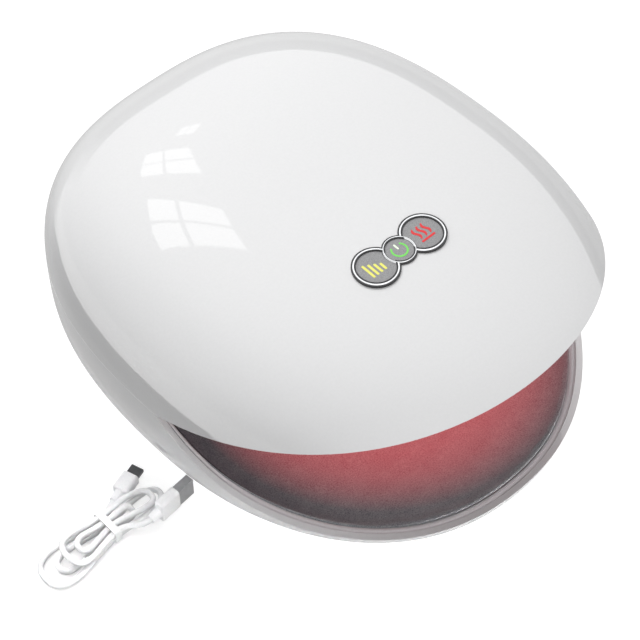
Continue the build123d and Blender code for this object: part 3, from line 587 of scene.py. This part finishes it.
def shell_reach(z):
    return base_reach(z, 0.0)


def dome_reach(z):
    rise = body_height - cloth_inset - widest_z
    lean = max(0.0, 1 - (max(0.0, z - widest_z) / rise) ** crown_power)
    share = lean ** (1 / crown_round_power)
    return (half_width - cloth_inset) * share, (dome_front_length - cloth_inset) * share


def dome_point(turn, z):
    width, front = dome_reach(z)
    return outline_point(turn, width, front, slot_back, dome_power)


def rim_height(y):
    along = min(1.0, max(0.0, (corner_y - y) / rim_run))
    return seam_z * (1 - along) ** 2 + 2 * rim_bend_z * along * (1 - along) + rim_z * along ** 2


def lip_height(y):
    along = min(1.0, max(0.0, (corner_y - y) / lip_run))
    return seam_z + 2 * lip_bend_rise * along * (1 - along) + lip_rise * along ** 2


def near_corner(y):
    """1 at the corners of the mouth, easing to 0 a little way along it."""
    along = max(0.0, 1 - abs(y - corner_y) / corner_fade)
    return along * along * (3 - 2 * along)


def ceiling_height(y):
    return max(ceiling_z, lip_height(y) + ceiling_over_lip)


def settle(turn, reach, power, start_z, level_at):
    """Height where a wall meets a level that depends on its own y, and its reach there."""
    z = start_z
    for _ in range(settling_steps):
        width, front = reach(z)
        y = outline_point(turn, width, front, slot_back, power)[1]
        z = (z + level_at(y)) / 2
    return z, width, front


def knit_mesh(name, rows, finish):
    """Sheet from rows of points round the slot; its middle is closed by a grid."""
    points = [Vector(place) * MM for row in rows for place in row]
    faces = []
    for level in range(len(rows) - 1):
        low = level * cloth_columns
        high = low + cloth_columns
        for step in range(cloth_columns):
            after = (step + 1) % cloth_columns
            faces.append((low + step, low + after, high + after, high + step))
    data = bpy.data.meshes.new(name)
    data.from_pydata(points, [], faces)
    sheet = bpy.data.objects.new(name, data)
    bpy.context.scene.collection.objects.link(sheet)
    take(sheet)
    pick_by("EDGE")
    last = (len(rows) - 1) * cloth_columns
    for edge in data.edges:
        edge.select = all(vertex >= last for vertex in edge.vertices)
    bpy.ops.object.mode_set(mode="EDIT")
    bpy.ops.mesh.fill_grid(span=cloth_columns // 4)
    face_outwards()
    data.materials.append(finish)
    return sheet


def give_thickness(sheet, slot_side):
    """Thicken the cloth away from the slot, then shade it smooth."""
    middle = min(sheet.data.polygons, key=lambda face: face.center.xy.length)
    take(sheet)
    solid = sheet.modifiers.new("thickness", "SOLIDIFY")
    solid.thickness = cloth_thickness * MM
    solid.offset = -1.0 if middle.normal.z * slot_side > 0 else 1.0
    bpy.ops.object.modifier_apply(modifier=solid.name)
    bpy.ops.object.mode_set(mode="EDIT")
    face_outwards()
    bpy.ops.object.shade_smooth()


def wrinkle(turn):
    """Small uneven ripple round the foot of the cloth's side."""
    drift = wrinkle_drift * sin(wrinkle_drift_count * turn)
    return wrinkle_depth * sin(turn * wrinkle_count + drift)


def swell(x, y):
    """Gentle cushion over the two air chambers."""
    along = max(0.0, 1 - ((y - chamber_y) / chamber_half_length) ** 2)
    hump = max(0.0, cos(pi * (abs(x) - chamber_x) / chamber_width))
    return swell_height * along ** swell_power * hump ** swell_power


def floor_edges():
    """Height of the floor cloth's edge at each turn, tucked in under the rim or where the two
    shells meet.
    """
    highest = seam_z - edge_under_seam

    def tucked(y):
        return min(highest, rim_height(y) - cloth_tuck)

    edges = [settle(turn, base_reach, base_power, highest, tucked)[0] for turn in turns]
    return [max(z, knee_z + least_side) for z in edges]


def floor_sides():
    """Rows from the cloth's edge down the walls of the slot to the knee."""
    edges = floor_edges()
    rows = []
    for level in floor_levels:
        row = []
        for turn, edge_z in zip(turns, edges):
            z = knee_z + (edge_z - knee_z) * level
            width, front = base_reach(z)
            pull = wrinkle(turn) * (1 - level) ** 2
            out = pull + (edge_turned_out if level == 1.0 else 0.0)
            y = outline_point(turn, width, front, slot_back, base_power)[1]
            out += (rim_push + (corner_push - rim_push) * near_corner(y)) * level
            x, y = outline_point(turn, width + out, front + out, slot_back + pull, base_power)
            row.append((x, y, z))
        rows.append(row)
    return rows


def floor_bottom():
    """Rows from the knee round onto the floor and in towards its middle."""
    rings = []
    for bend in bends:
        lean = bend * pi / 2
        share = 1 - floor_round_share + floor_round_share * cos(lean)
        rings.append((share, knee_z - (knee_z - slot_floor_z) * sin(lean), 1 - bend))
    rings += [(share, slot_floor_z, 0.0) for share in floor_shares]
    width, front = base_reach(knee_z)
    rows = []
    for share, z, looseness in rings:
        row = []
        for turn in turns:
            pull = wrinkle(turn) * looseness
            sides = (width * share + pull, front * share + pull, slot_back * share)
            row.append((*outline_point(turn, *sides, base_power), z))
        rows.append(row)
    return rows


def make_floor_cloth():
    sheet = knit_mesh("floor_cloth", floor_sides() + floor_bottom(), cloth_finish)
    for point in sheet.data.vertices:
        if point.co.z < (slot_floor_z + floor_band) * MM:
            point.co.z += swell(point.co.x / MM, point.co.y / MM) * MM
    give_thickness(sheet, slot_above)
    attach(sheet, "body")
    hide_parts("lower_lining")


def ceiling_edges():
    """Height of the ceiling cloth's edge at each turn, tucked in over the lip or where the two
    shells meet.
    """
    lowest = seam_z + edge_over_seam

    def tucked(y):
        return max(lowest, lip_height(y) + cloth_tuck)

    return [settle(turn, dome_reach, dome_power, lowest, tucked)[0] for turn in turns]


def ceiling_sides():
    """Rows from the cloth's edge up the dome's walls to where the ceiling rounds off."""
    edges = ceiling_edges()
    rows = []
    for level in ceiling_levels:
        row = []
        for turn, edge_z in zip(turns, edges):
            y = dome_point(turn, edge_z)[1]
            top = max(edge_z, ceiling_height(y) - ceiling_round)
            z = edge_z + (top - edge_z) * level
            row.append((*dome_point(turn, z), z))
        rows.append(row)
    return rows


def ceiling_top(side):
    """Rows from the last row of the sides round onto the ceiling and in to its middle."""
    rings = []
    for bend in bends:
        lean = bend * pi / 2
        rings.append((1 - ceiling_round_share * (1 - cos(lean)), sin(lean)))
    rings += [(share, 1.0) for share in ceiling_shares]
    rows = []
    for share, rise in rings:
        row = []
        for side_x, side_y, side_z in side:
            y = widest_y + (side_y - widest_y) * share
            row.append((side_x * share, y, side_z + (ceiling_height(y) - side_z) * rise))
        rows.append(row)
    return rows


def make_ceiling_cloth():
    sides = ceiling_sides()
    sheet = knit_mesh("ceiling_cloth", sides + ceiling_top(sides[-1]), ceiling_finish)
    for point in sheet.data.vertices:
        x = point.co.x / MM
        y = point.co.y / MM
        if abs(x) < chamber_width and ceiling_flat_front < y < ceiling_flat_back:
            point.co.z = ceiling_height(y) * MM - swell(x, y) * MM
    give_thickness(sheet, slot_below)
    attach(sheet, "body")
    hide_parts("upper_lining")


make_floor_cloth()
make_ceiling_cloth()

# Bead of the rim, in millimetres: it starts inside the base's wall and slims towards the
# corners. A sink share is how far down a strip lies, in its own widths
rim_start = 2.8
bead_half_width = 1.6
bead_corner_half_width = 0.55
bead_sink_share = 0.45
# Two thin dark lines of painted shade, in the gaps on either side of the bead
shade_line_half_width = 0.3
shade_line_sink_share = 1.0
rim_places = 91
rim_smoothness = 2


def rim_line(name, from_wall, half_width_at, sink_share, finish):
    """Round strip along the mouth's rim; its start and half width may change with y."""
    places = []
    halves = []
    for step in range(rim_places):
        turn = pi + pi * (step + 0.5) / rim_places
        z, width, front = settle(turn, shell_reach, base_power, rim_z, rim_height)
        y = outline_point(turn, width, front, slot_back, base_power)[1]
        half = half_width_at(y)
        inset = from_wall(y) + half
        x, y = outline_point(turn, width - inset, front - inset, slot_back, base_power)
        places.append((x, y, z - 2 * sink_share * half))
        halves.append(half)
    strip = round_line(name, half_width=1.0, places=places, smoothness=rim_smoothness)
    for point, half in zip(strip.data.splines[0].points, halves):
        point.radius = half
    take(strip)
    bpy.ops.object.convert(target="MESH")
    strip = bpy.context.object
    bpy.ops.object.shade_smooth()
    paint(strip, finish)
    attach(strip, "body")
    return strip


def bead_start(y):
    return rim_start


def bead_half(y):
    return bead_half_width + (bead_corner_half_width - bead_half_width) * near_corner(y)


def shell_shade_line_start(y):
    return rim_start - 2 * shade_line_half_width


def cloth_shade_line_start(y):
    return rim_start + 2 * bead_half(y)


def shade_line_half(y):
    return shade_line_half_width


def make_rim():
    """Glossy bead between two thin dark lines of painted shade, in the gaps at the shell and at
    the cloth.
    """
    bead = rim_line("rim_bead", bead_start, bead_half, bead_sink_share, trim_finish)
    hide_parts("lower_mouth_trim")
    # Black strips of painted shade in the gaps beside the bead
    shade_lines = (("rim_shell_shade_line", shell_shade_line_start), ("rim_cloth_shade_line", cloth_shade_line_start))
    for name, start in shade_lines:
        shade_line = rim_line(name, start, shade_line_half, shade_line_sink_share, black_and_shade_finish)


make_rim()


# The row of buttons, in millimetres, and the signs printed on them. Each sign's places
# count from its own button's middle
button_pitch = 12.5
button_y = -42.8
button_x = {"intensity_key": -button_pitch, "power_key": 0.0, "heat_key": button_pitch}
face_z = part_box("power_button")[1][2] / MM
print_height = 0.08

bar_lengths = (7.4, 6.3, 5.1, 3.8)
bar_width = 1.05
bar_first_x = -3.75
bar_pitch = 2.05
bar_low_y = -3.4
bar_end_round = 0.45
bar_end_steps = 4

arc_radius = 3.2
arc_points = 72
arc_half_gap = radians(42)
power_line_width = 0.75
power_stroke_y = 1.9
power_stroke_length = 2.9

heat_bar_place = (0.2, -3.2)
heat_bar_width = 6.9
heat_bar_length = 0.95
wave_places = (-2.2, 0.3, 2.7)
wave_low_y = -2.0
wave_length = 6.0
wave_width = 1.2
wave_swing = 0.6
wave_steps = 18
wave_end_share = 0.45
wave_taper_power = 0.6


def finish_sign(sign, body, finish):
    paint(sign, finish)
    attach(sign, body)


def add_stroke(name, body, x, y, width, length, finish):
    """Bar with rounded ends; x and y are its middle, from the button's middle."""
    clear_selection()
    place = Vector((button_x[body] + x, button_y + y, face_z + print_height / 2)) * MM
    bpy.ops.mesh.primitive_cube_add(size=MM, location=place, scale=(width, length, print_height))
    stroke = bpy.context.object
    stroke.name = name
    fix_in_place()
    pick_by("EDGE")
    for edge in stroke.data.edges:
        low, high = (stroke.data.vertices[vertex].co for vertex in edge.vertices)
        edge.select = abs(low.z - high.z) > print_height / 2 * MM
    bpy.ops.object.mode_set(mode="EDIT")
    round_off = bar_end_round * min(width, length) * MM
    bpy.ops.mesh.bevel(offset=round_off, segments=bar_end_steps)
    bpy.ops.object.mode_set(mode="OBJECT")
    finish_sign(stroke, body, finish)


def add_wave(name, body, x, finish):
    """Ribbon that climbs in a slow S, as a heat mark does."""
    clear_selection()
    low_end = (button_x[body] + x, button_y + wave_low_y, face_z + print_height / 2)
    start = Vector(low_end) * MM
    middle = start + Vector((0, wave_length / 2, 0)) * MM
    bpy.ops.mesh.primitive_cube_add(size=MM, location=middle)
    wave = bpy.context.object
    wave.name = name
    wave.scale = (wave_width, wave_length, print_height)
    fix_in_place()
    for cut in range(1, wave_steps):
        open_mesh()
        level = start.y + wave_length * MM * cut / wave_steps
        bpy.ops.mesh.bisect(plane_co=(0, level, 0), plane_no=(0, 1, 0))
    bpy.ops.object.mode_set(mode="OBJECT")
    for point in wave.data.vertices:
        along = (point.co.y - start.y) / (wave_length * MM)
        bulge = sin(pi * min(1.0, max(0.0, along))) ** wave_taper_power
        taper = wave_end_share + (1 - wave_end_share) * bulge
        sway = wave_swing * MM * sin(2 * pi * along)
        point.co.x = start.x + (point.co.x - start.x) * taper + sway
    finish_sign(wave, body, finish)


def add_power_arc(body, finish):
    """Open ring: a disc with its middle inset and removed, cut open towards the back."""
    clear_selection()
    middle = Vector((button_x[body], button_y, face_z)) * MM
    outer = (arc_radius + power_line_width / 2) * MM
    bpy.ops.mesh.primitive_circle_add(
        vertices=arc_points, radius=outer, fill_type="NGON", location=middle
    )
    arc = bpy.context.object
    arc.name = "power_arc"
    fix_in_place()
    open_mesh()
    bpy.ops.mesh.inset(thickness=power_line_width * MM)
    bpy.ops.mesh.delete(type="FACE")
    pick_by("FACE")
    for face in arc.data.polygons:
        away = face.center - middle
        angle = Vector((0, 1, 0)).angle(Vector((away.x, away.y, 0)))
        face.select = angle < arc_half_gap
    bpy.ops.object.mode_set(mode="EDIT")
    bpy.ops.mesh.delete(type="FACE")
    bpy.ops.mesh.select_all(action="SELECT")
    bpy.ops.mesh.extrude_region_move(TRANSFORM_OT_translate={"value": (0, 0, print_height * MM)})
    face_outwards()
    finish_sign(arc, body, finish)


def print_signs():
    yellow = glowing_print("yellow_print", (0.80, 0.77, 0.17), strength=0.25)
    green = glowing_print("green_print", (0.16, 0.62, 0.10), strength=0.35)
    pale = glowing_print("pale_print", (0.80, 0.90, 0.72), strength=0.35)
    red = glowing_print("red_print", (0.70, 0.03, 0.035), strength=0.2)
    for count, length in enumerate(bar_lengths):
        name = "level_bar_" + str(count + 1)
        x = bar_first_x + bar_pitch * count
        y = bar_low_y + length / 2
        add_stroke(name, "intensity_key", x, y, bar_width, length, yellow)
    add_power_arc("power_key", green)
    stroke_size = (power_line_width, power_stroke_length)
    add_stroke("power_stroke", "power_key", 0.0, power_stroke_y, *stroke_size, pale)
    add_stroke("heat_bar", "heat_key", *heat_bar_place, heat_bar_width, heat_bar_length, red)
    for count, x in enumerate(wave_places):
        add_wave("heat_wave_" + str(count + 1), "heat_key", x, red)


print_signs()


# Rings round the buttons, in millimetres, from left to right: a black ring outside the chrome,
# painted shade and painted dark reflection at its foot, a black ring between chrome and button,
# painted shade in the recess, and a rounded bead on each ring
button_places = tuple(button_x.values())
bead_names = ("ring_bead_left", "ring_bead_middle", "ring_bead_right")
ring_radii = (9.4, 6.8, 9.4)
disc_radii = (7.85, 5.65, 7.85)
# Black rings of painted shade; the outer one also stands for a dark reflection at the chrome's
# foot
outer_shade_ring_reach = 0.35
outer_shade_ring_depth = 1.1
outer_shade_ring_height = 1.15
inner_shade_ring_thickness = 0.5
inner_shade_ring_depth = 1.2
inner_shade_ring_rise = 0.25
button_gap = 0.03
bead_inset = 0.2
bead_rise = 0.3
bead_foot = 0.3
bead_overlap = 0.1
bead_segments = 128
bead_roundness = 20
crease_angle = radians(50)
post_sides = 96
cutter_depth = 3.0
cutter_height = 6.0


def button_post(x, radius, low_z, height):
    clear_selection()
    middle = Vector((x, button_y, low_z + height / 2)) * MM
    bpy.ops.mesh.primitive_cylinder_add(
        vertices=post_sides, radius=radius * MM, depth=height * MM, location=middle
    )
    fix_in_place()
    return bpy.context.object


def cut_with(piece, tool, way):
    """Join a tool to a piece or cut it away, then drop the tool."""
    take(piece)
    cut = piece.modifiers.new("cut", "BOOLEAN")
    cut.operation = way
    cut.object = tool
    cut.solver = "EXACT"
    bpy.ops.object.modifier_apply(modifier=cut.name)
    bpy.data.objects.remove(tool)


def three_discs(name, radii, low_z, height):
    """Three overlapping cylinders in a row, joined into one solid."""
    places = zip(button_places, radii)
    left, body, right = (button_post(x, radius, low_z, height) for x, radius in places)
    body.name = name
    for side in (left, right):
        cut_with(body, side, "UNION")
    return body


def round_bead(x, outer, inner, top):
    """Rounded chrome ring round one button, standing on the bezel."""
    clear_selection()
    half = (outer - inner) / 2
    middle = Vector((x, button_y, top - half)) * MM
    bpy.ops.mesh.primitive_torus_add(
        location=middle,
        major_radius=(outer + inner) / 2 * MM,
        minor_radius=half * MM,
        major_segments=bead_segments,
        minor_segments=bead_roundness,
    )
    bead = bpy.context.object
    fix_in_place()
    open_mesh()
    foot = (top - half - bead_foot) * MM
    bpy.ops.mesh.bisect(plane_co=(0, 0, foot), plane_no=(0, 0, 1), clear_inner=True)
    bpy.ops.mesh.bridge_edge_loops()
    face_outwards()
    return bead


def make_shade_rings(ring_top):
    """Black rings of painted shade outside and inside the chrome, each cut through where the
    chrome or the buttons are.
    """
    low = ring_top - cutter_depth
    outer_shade_ring_radii = [radius + outer_shade_ring_reach for radius in ring_radii]
    hole_radii = [radius - bead_inset - bead_overlap for radius in ring_radii]
    outer_shade_ring = three_discs("ring_outer_shade", outer_shade_ring_radii, ring_top - outer_shade_ring_depth, outer_shade_ring_height)
    cut_with(outer_shade_ring, three_discs("outer_shade_ring_hole", hole_radii, low, cutter_height), "DIFFERENCE")
    inner_shade_ring_radii = [radius + inner_shade_ring_thickness for radius in disc_radii]
    inner_shade_ring_height = inner_shade_ring_depth + inner_shade_ring_rise
    inner_shade_ring = three_discs("ring_inner_shade", inner_shade_ring_radii, ring_top - inner_shade_ring_depth, inner_shade_ring_height)
    for x, radius in zip(button_places, disc_radii):
        cut_with(inner_shade_ring, button_post(x, radius + button_gap, low, cutter_height), "DIFFERENCE")
    for piece in (outer_shade_ring, inner_shade_ring):
        paint(piece, black_and_shade_finish)
        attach(piece, "body")


def make_ring_beads(ring_top):
    """Three chrome beads; the outer two give way to the middle ring."""
    low = ring_top - cutter_depth
    top = ring_top + bead_rise
    middle_radius = ring_radii[1] - bead_overlap
    for name, x, ring, disc in zip(bead_names, button_places, ring_radii, disc_radii):
        bead = round_bead(x, ring - bead_inset, disc + inner_shade_ring_thickness, top)
        if x != 0.0:
            cut_with(bead, button_post(0.0, middle_radius, low, cutter_height), "DIFFERENCE")
        bead.name = name
        take(bead)
        bpy.ops.object.shade_smooth_by_angle(angle=crease_angle)
        paint(bead, chrome_finish)
        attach(bead, "body")


chrome_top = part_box("button_bezel")[1][2] / MM
make_shade_rings(chrome_top)
make_ring_beads(chrome_top)


# Windows, each by its four corners, in metres on one level
pane_height = 1.0
pane_glow = 2.3
pane_gap = 0.06
pane_cells = 3
windows = (
    ((-0.09, 0.67), (0.26, 0.53), (0.33, 0.64), (0.12, 0.89)),
    ((0.21, 1.07), (0.40, 0.80), (0.48, 1.0), (0.36, 1.24)),
    ((0.53, 1.2), (0.56, 1.1), (0.62, 1.15), (0.59, 1.25)),
)


def window_finish():
    finish, shader = new_finish("window_light", (0.0, 0.0, 0.0), roughness=0.5)
    shader.inputs["Emission Color"].default_value = (1.0, 1.0, 1.0, 1.0)
    shader.inputs["Emission Strength"].default_value = pane_glow
    return finish


def make_window(name, corners, finish):
    """Four panes round a cross of bars, stretched over the four corners."""
    near_left, near_right, far_right, far_left = (Vector((x, y, pane_height)) for x, y in corners)
    clear_selection()
    bpy.ops.mesh.primitive_grid_add(
        x_subdivisions=pane_cells, y_subdivisions=pane_cells, size=1.0
    )
    window = bpy.context.object
    window.name = name
    levels = (0.0, 0.5 - pane_gap / 2, 0.5 + pane_gap / 2, 1.0)
    for point in window.data.vertices:
        across = levels[round((point.co.x + 0.5) * pane_cells)]
        deep = levels[round((point.co.y + 0.5) * pane_cells)]
        near = near_left.lerp(near_right, across)
        far = far_left.lerp(far_right, across)
        point.co = near.lerp(far, deep)
    pick_by("FACE")
    for index, face in enumerate(window.data.polygons):
        face.select = index % pane_cells == 1 or index // pane_cells == 1
    bpy.ops.object.mode_set(mode="EDIT")
    bpy.ops.mesh.delete(type="FACE")
    bpy.ops.object.mode_set(mode="OBJECT")
    paint(window, finish)
    window.visible_camera = False
    window.visible_diffuse = False
    window.visible_transmission = False
    window.visible_shadow = False


def make_windows():
    """Bright windows that only the gloss of the dome picks up."""
    finish = window_finish()
    for count, corners in enumerate(windows):
        make_window("window_" + str(count + 1), corners, finish)


# The floor, in metres. A pair of ranges says how a value follows a place: the first
# range is of places, the second is what the value is at its two ends
floor_size = 8.0
floor_level = -0.0005
floor_roughness = 0.9
camera_paleness = 0.95
camera_white = 1.22
bounce_paleness_by_x = ((-0.05, 0.1), (0.35, 0.95))
cable_middle = (-0.141, -0.008, 0.0)
even_share_by_distance = ((0.028, 0.052), (0.4, 0.8))
# The darker patch of it that only the gloss picks up
patch_half_width = 0.19
patch_back = 0.31
patch_shade_by_x = ((-patch_half_width, -0.1), (0.1, 0.6))
outer_shade_by_x = ((-0.2, -0.12), (1.35, 0.7))


def floor_gloss(finish, x, y):
    """What gloss sees: a dark patch round the body, and paler shades outside it."""
    beside = chain(finish, "GREATER_THAN", chain(finish, "ABSOLUTE", x), patch_half_width)
    behind = chain(finish, "GREATER_THAN", y, patch_back)
    outside = chain(finish, "MAXIMUM", beside, behind)
    inside = chain(finish, "SUBTRACT", 1.0, outside)
    patch = chain(finish, "MULTIPLY", inside, stretch(finish, x, patch_shade_by_x))
    outer = chain(finish, "MULTIPLY", outside, stretch(finish, x, outer_shade_by_x))
    return chain(finish, "ADD", patch, outer)


def even_share(finish, place):
    """How evenly white the camera sees the floor: less so where the cable's shade lies."""
    from_cable = add_node(finish, "ShaderNodeVectorMath", operation="DISTANCE")
    link(finish, place, from_cable.inputs[0])
    from_cable.inputs[1].default_value = cable_middle
    return stretch(finish, from_cable.outputs["Value"], even_share_by_distance)


def floor_finish():
    finish, shader = new_finish("white_floor", (1.0, 1.0, 1.0), floor_roughness)
    shader.inputs["Specular IOR Level"].default_value = 0.0
    place = object_place(finish)
    x, y, _ = axes(finish, place)
    camera, glossy = ray_kinds(finish)
    bounced = stretch(finish, x, bounce_paleness_by_x)
    seen = chain(finish, "MULTIPLY", camera, camera_paleness)
    link(finish, chain(finish, "MAXIMUM", bounced, seen), shader.inputs["Base Color"])
    reflected = chain(finish, "MULTIPLY", glossy, floor_gloss(finish, x, y))
    white = chain(finish, "MULTIPLY", camera, camera_white)
    glow = add_node(finish, "ShaderNodeEmission")
    link(finish, chain(finish, "ADD", reflected, white), glow.inputs["Strength"])
    even = chain(finish, "MULTIPLY", camera, even_share(finish, place))
    mix = add_node(finish, "ShaderNodeMixShader")
    link(finish, chain(finish, "ADD", glossy, even), mix.inputs["Fac"])
    link(finish, shader.outputs["BSDF"], mix.inputs[1])
    link(finish, glow.outputs["Emission"], mix.inputs[2])
    surface = finish.node_tree.nodes["Material Output"].inputs["Surface"]
    link(finish, mix.outputs["Shader"], surface)
    return finish


def make_floor():
    clear_selection()
    bpy.ops.mesh.primitive_plane_add(size=floor_size, location=(0, 0, floor_level))
    floor = bpy.context.object
    floor.name = "floor"
    floor.data.materials.append(floor_finish())


# The pale room, by direction: pairs of ranges as for the floor
room_colour = (0.99, 0.992, 1.0)
fill_strength = 0.335
fill_side_lean_by_z = ((0.0, 0.4), (0.6, -0.25))
fill_back_lean = 0.2
wall_glow = 0.5
over_wall_by_z = ((0.215, 0.235), (0.0, 1.0))
past_wall_by_x = ((-0.1, 0.25), (1.0, 0.0))
upper_glow_by_x = ((-0.6, 0.6), (0.6, 0.95))
front_share_by_y = ((-0.5, -0.1), (1.0, 0.0))
front_dimming_by_x = ((-0.1, 0.8), (-0.5, 0.8))

# Lamps: name, place and target in metres, width, height, watts, spread in degrees
lamps = (
    ("top_light", (0.18, 0.68, 1.15), (0.0, 0.0, 0.05), 1.2, 1.2, 12.0, 180),
    ("left_light", (-0.7, -0.6, 0.75), (0.0, 0.0, 0.05), 0.6, 0.6, 2.3, 180),
    ("cable_light", (-0.145, -0.01, 0.7), (-0.145, -0.009, 0.0), 0.06, 0.06, 0.01, 7),
    ("rim_light_left", (-0.33, -0.42, 0.01), (-0.06, -0.09, 0.01), 0.3, 0.018, 0.03, 12),
    ("rim_light_right", (0.42, -0.28, 0.01), (0.09, -0.05, 0.01), 0.3, 0.018, 0.036, 12),
)


def soft_lamp(name, place, target, width, height, power, spread):
    clear_selection()
    bpy.ops.object.light_add(type="AREA", location=place)
    lamp = bpy.context.object
    lamp.name = name
    lamp.data.shape = "RECTANGLE"
    lamp.data.size = width
    lamp.data.size_y = height
    lamp.data.energy = power
    lamp.data.spread = radians(spread)
    lamp.rotation_euler = aim(place, target)
    lamp.visible_glossy = False
    lamp.visible_camera = False


def room_fill(world, x, y, z):
    """Light on the body: more from the right low down, more from the left high up."""
    to_right = chain(world, "MULTIPLY", x, stretch(world, z, fill_side_lean_by_z))
    to_back = chain(world, "MULTIPLY", y, fill_back_lean)
    lean = chain(world, "ADD", 1.0, chain(world, "ADD", to_right, to_back))
    return chain(world, "MULTIPLY", lean, fill_strength)


def room_gloss(world, x, y, z):
    """What gloss sees: a low grey wall at the back and the right, and pale air over it."""
    above_wall = stretch(world, z, over_wall_by_z)
    left_of_wall = stretch(world, x, past_wall_by_x)
    lit = chain(world, "MAXIMUM", above_wall, left_of_wall)
    front = stretch(world, y, front_share_by_y)
    dimming = chain(world, "MULTIPLY", front, stretch(world, x, front_dimming_by_x))
    upper = chain(world, "SUBTRACT", stretch(world, x, upper_glow_by_x), dimming)
    return chain(world, "ADD", wall_glow, chain(world, "MULTIPLY", lit, upper))


def light_room():
    """A pale room that the camera sees white, and the lamps in it."""
    world = bpy.data.worlds.new("pale_room")
    bpy.context.scene.world = world
    world.use_nodes = True
    back = world.node_tree.nodes["Background"]
    back.inputs["Color"].default_value = (*room_colour, 1.0)
    heading = add_node(world, "ShaderNodeTexCoord").outputs["Generated"]
    x, y, z = axes(world, heading)
    camera, glossy = ray_kinds(world)
    rest = chain(world, "SUBTRACT", 1.0, chain(world, "MAXIMUM", camera, glossy))
    reflected = chain(world, "MULTIPLY", glossy, room_gloss(world, x, y, z))
    filled = chain(world, "MULTIPLY", rest, room_fill(world, x, y, z))
    strength = chain(world, "ADD", chain(world, "ADD", camera, reflected), filled)
    link(world, strength, back.inputs["Strength"])
    for lamp in lamps:
        soft_lamp(*lamp)
    bpy.context.scene.view_settings.view_transform = "Standard"


make_floor()
make_windows()
light_room()
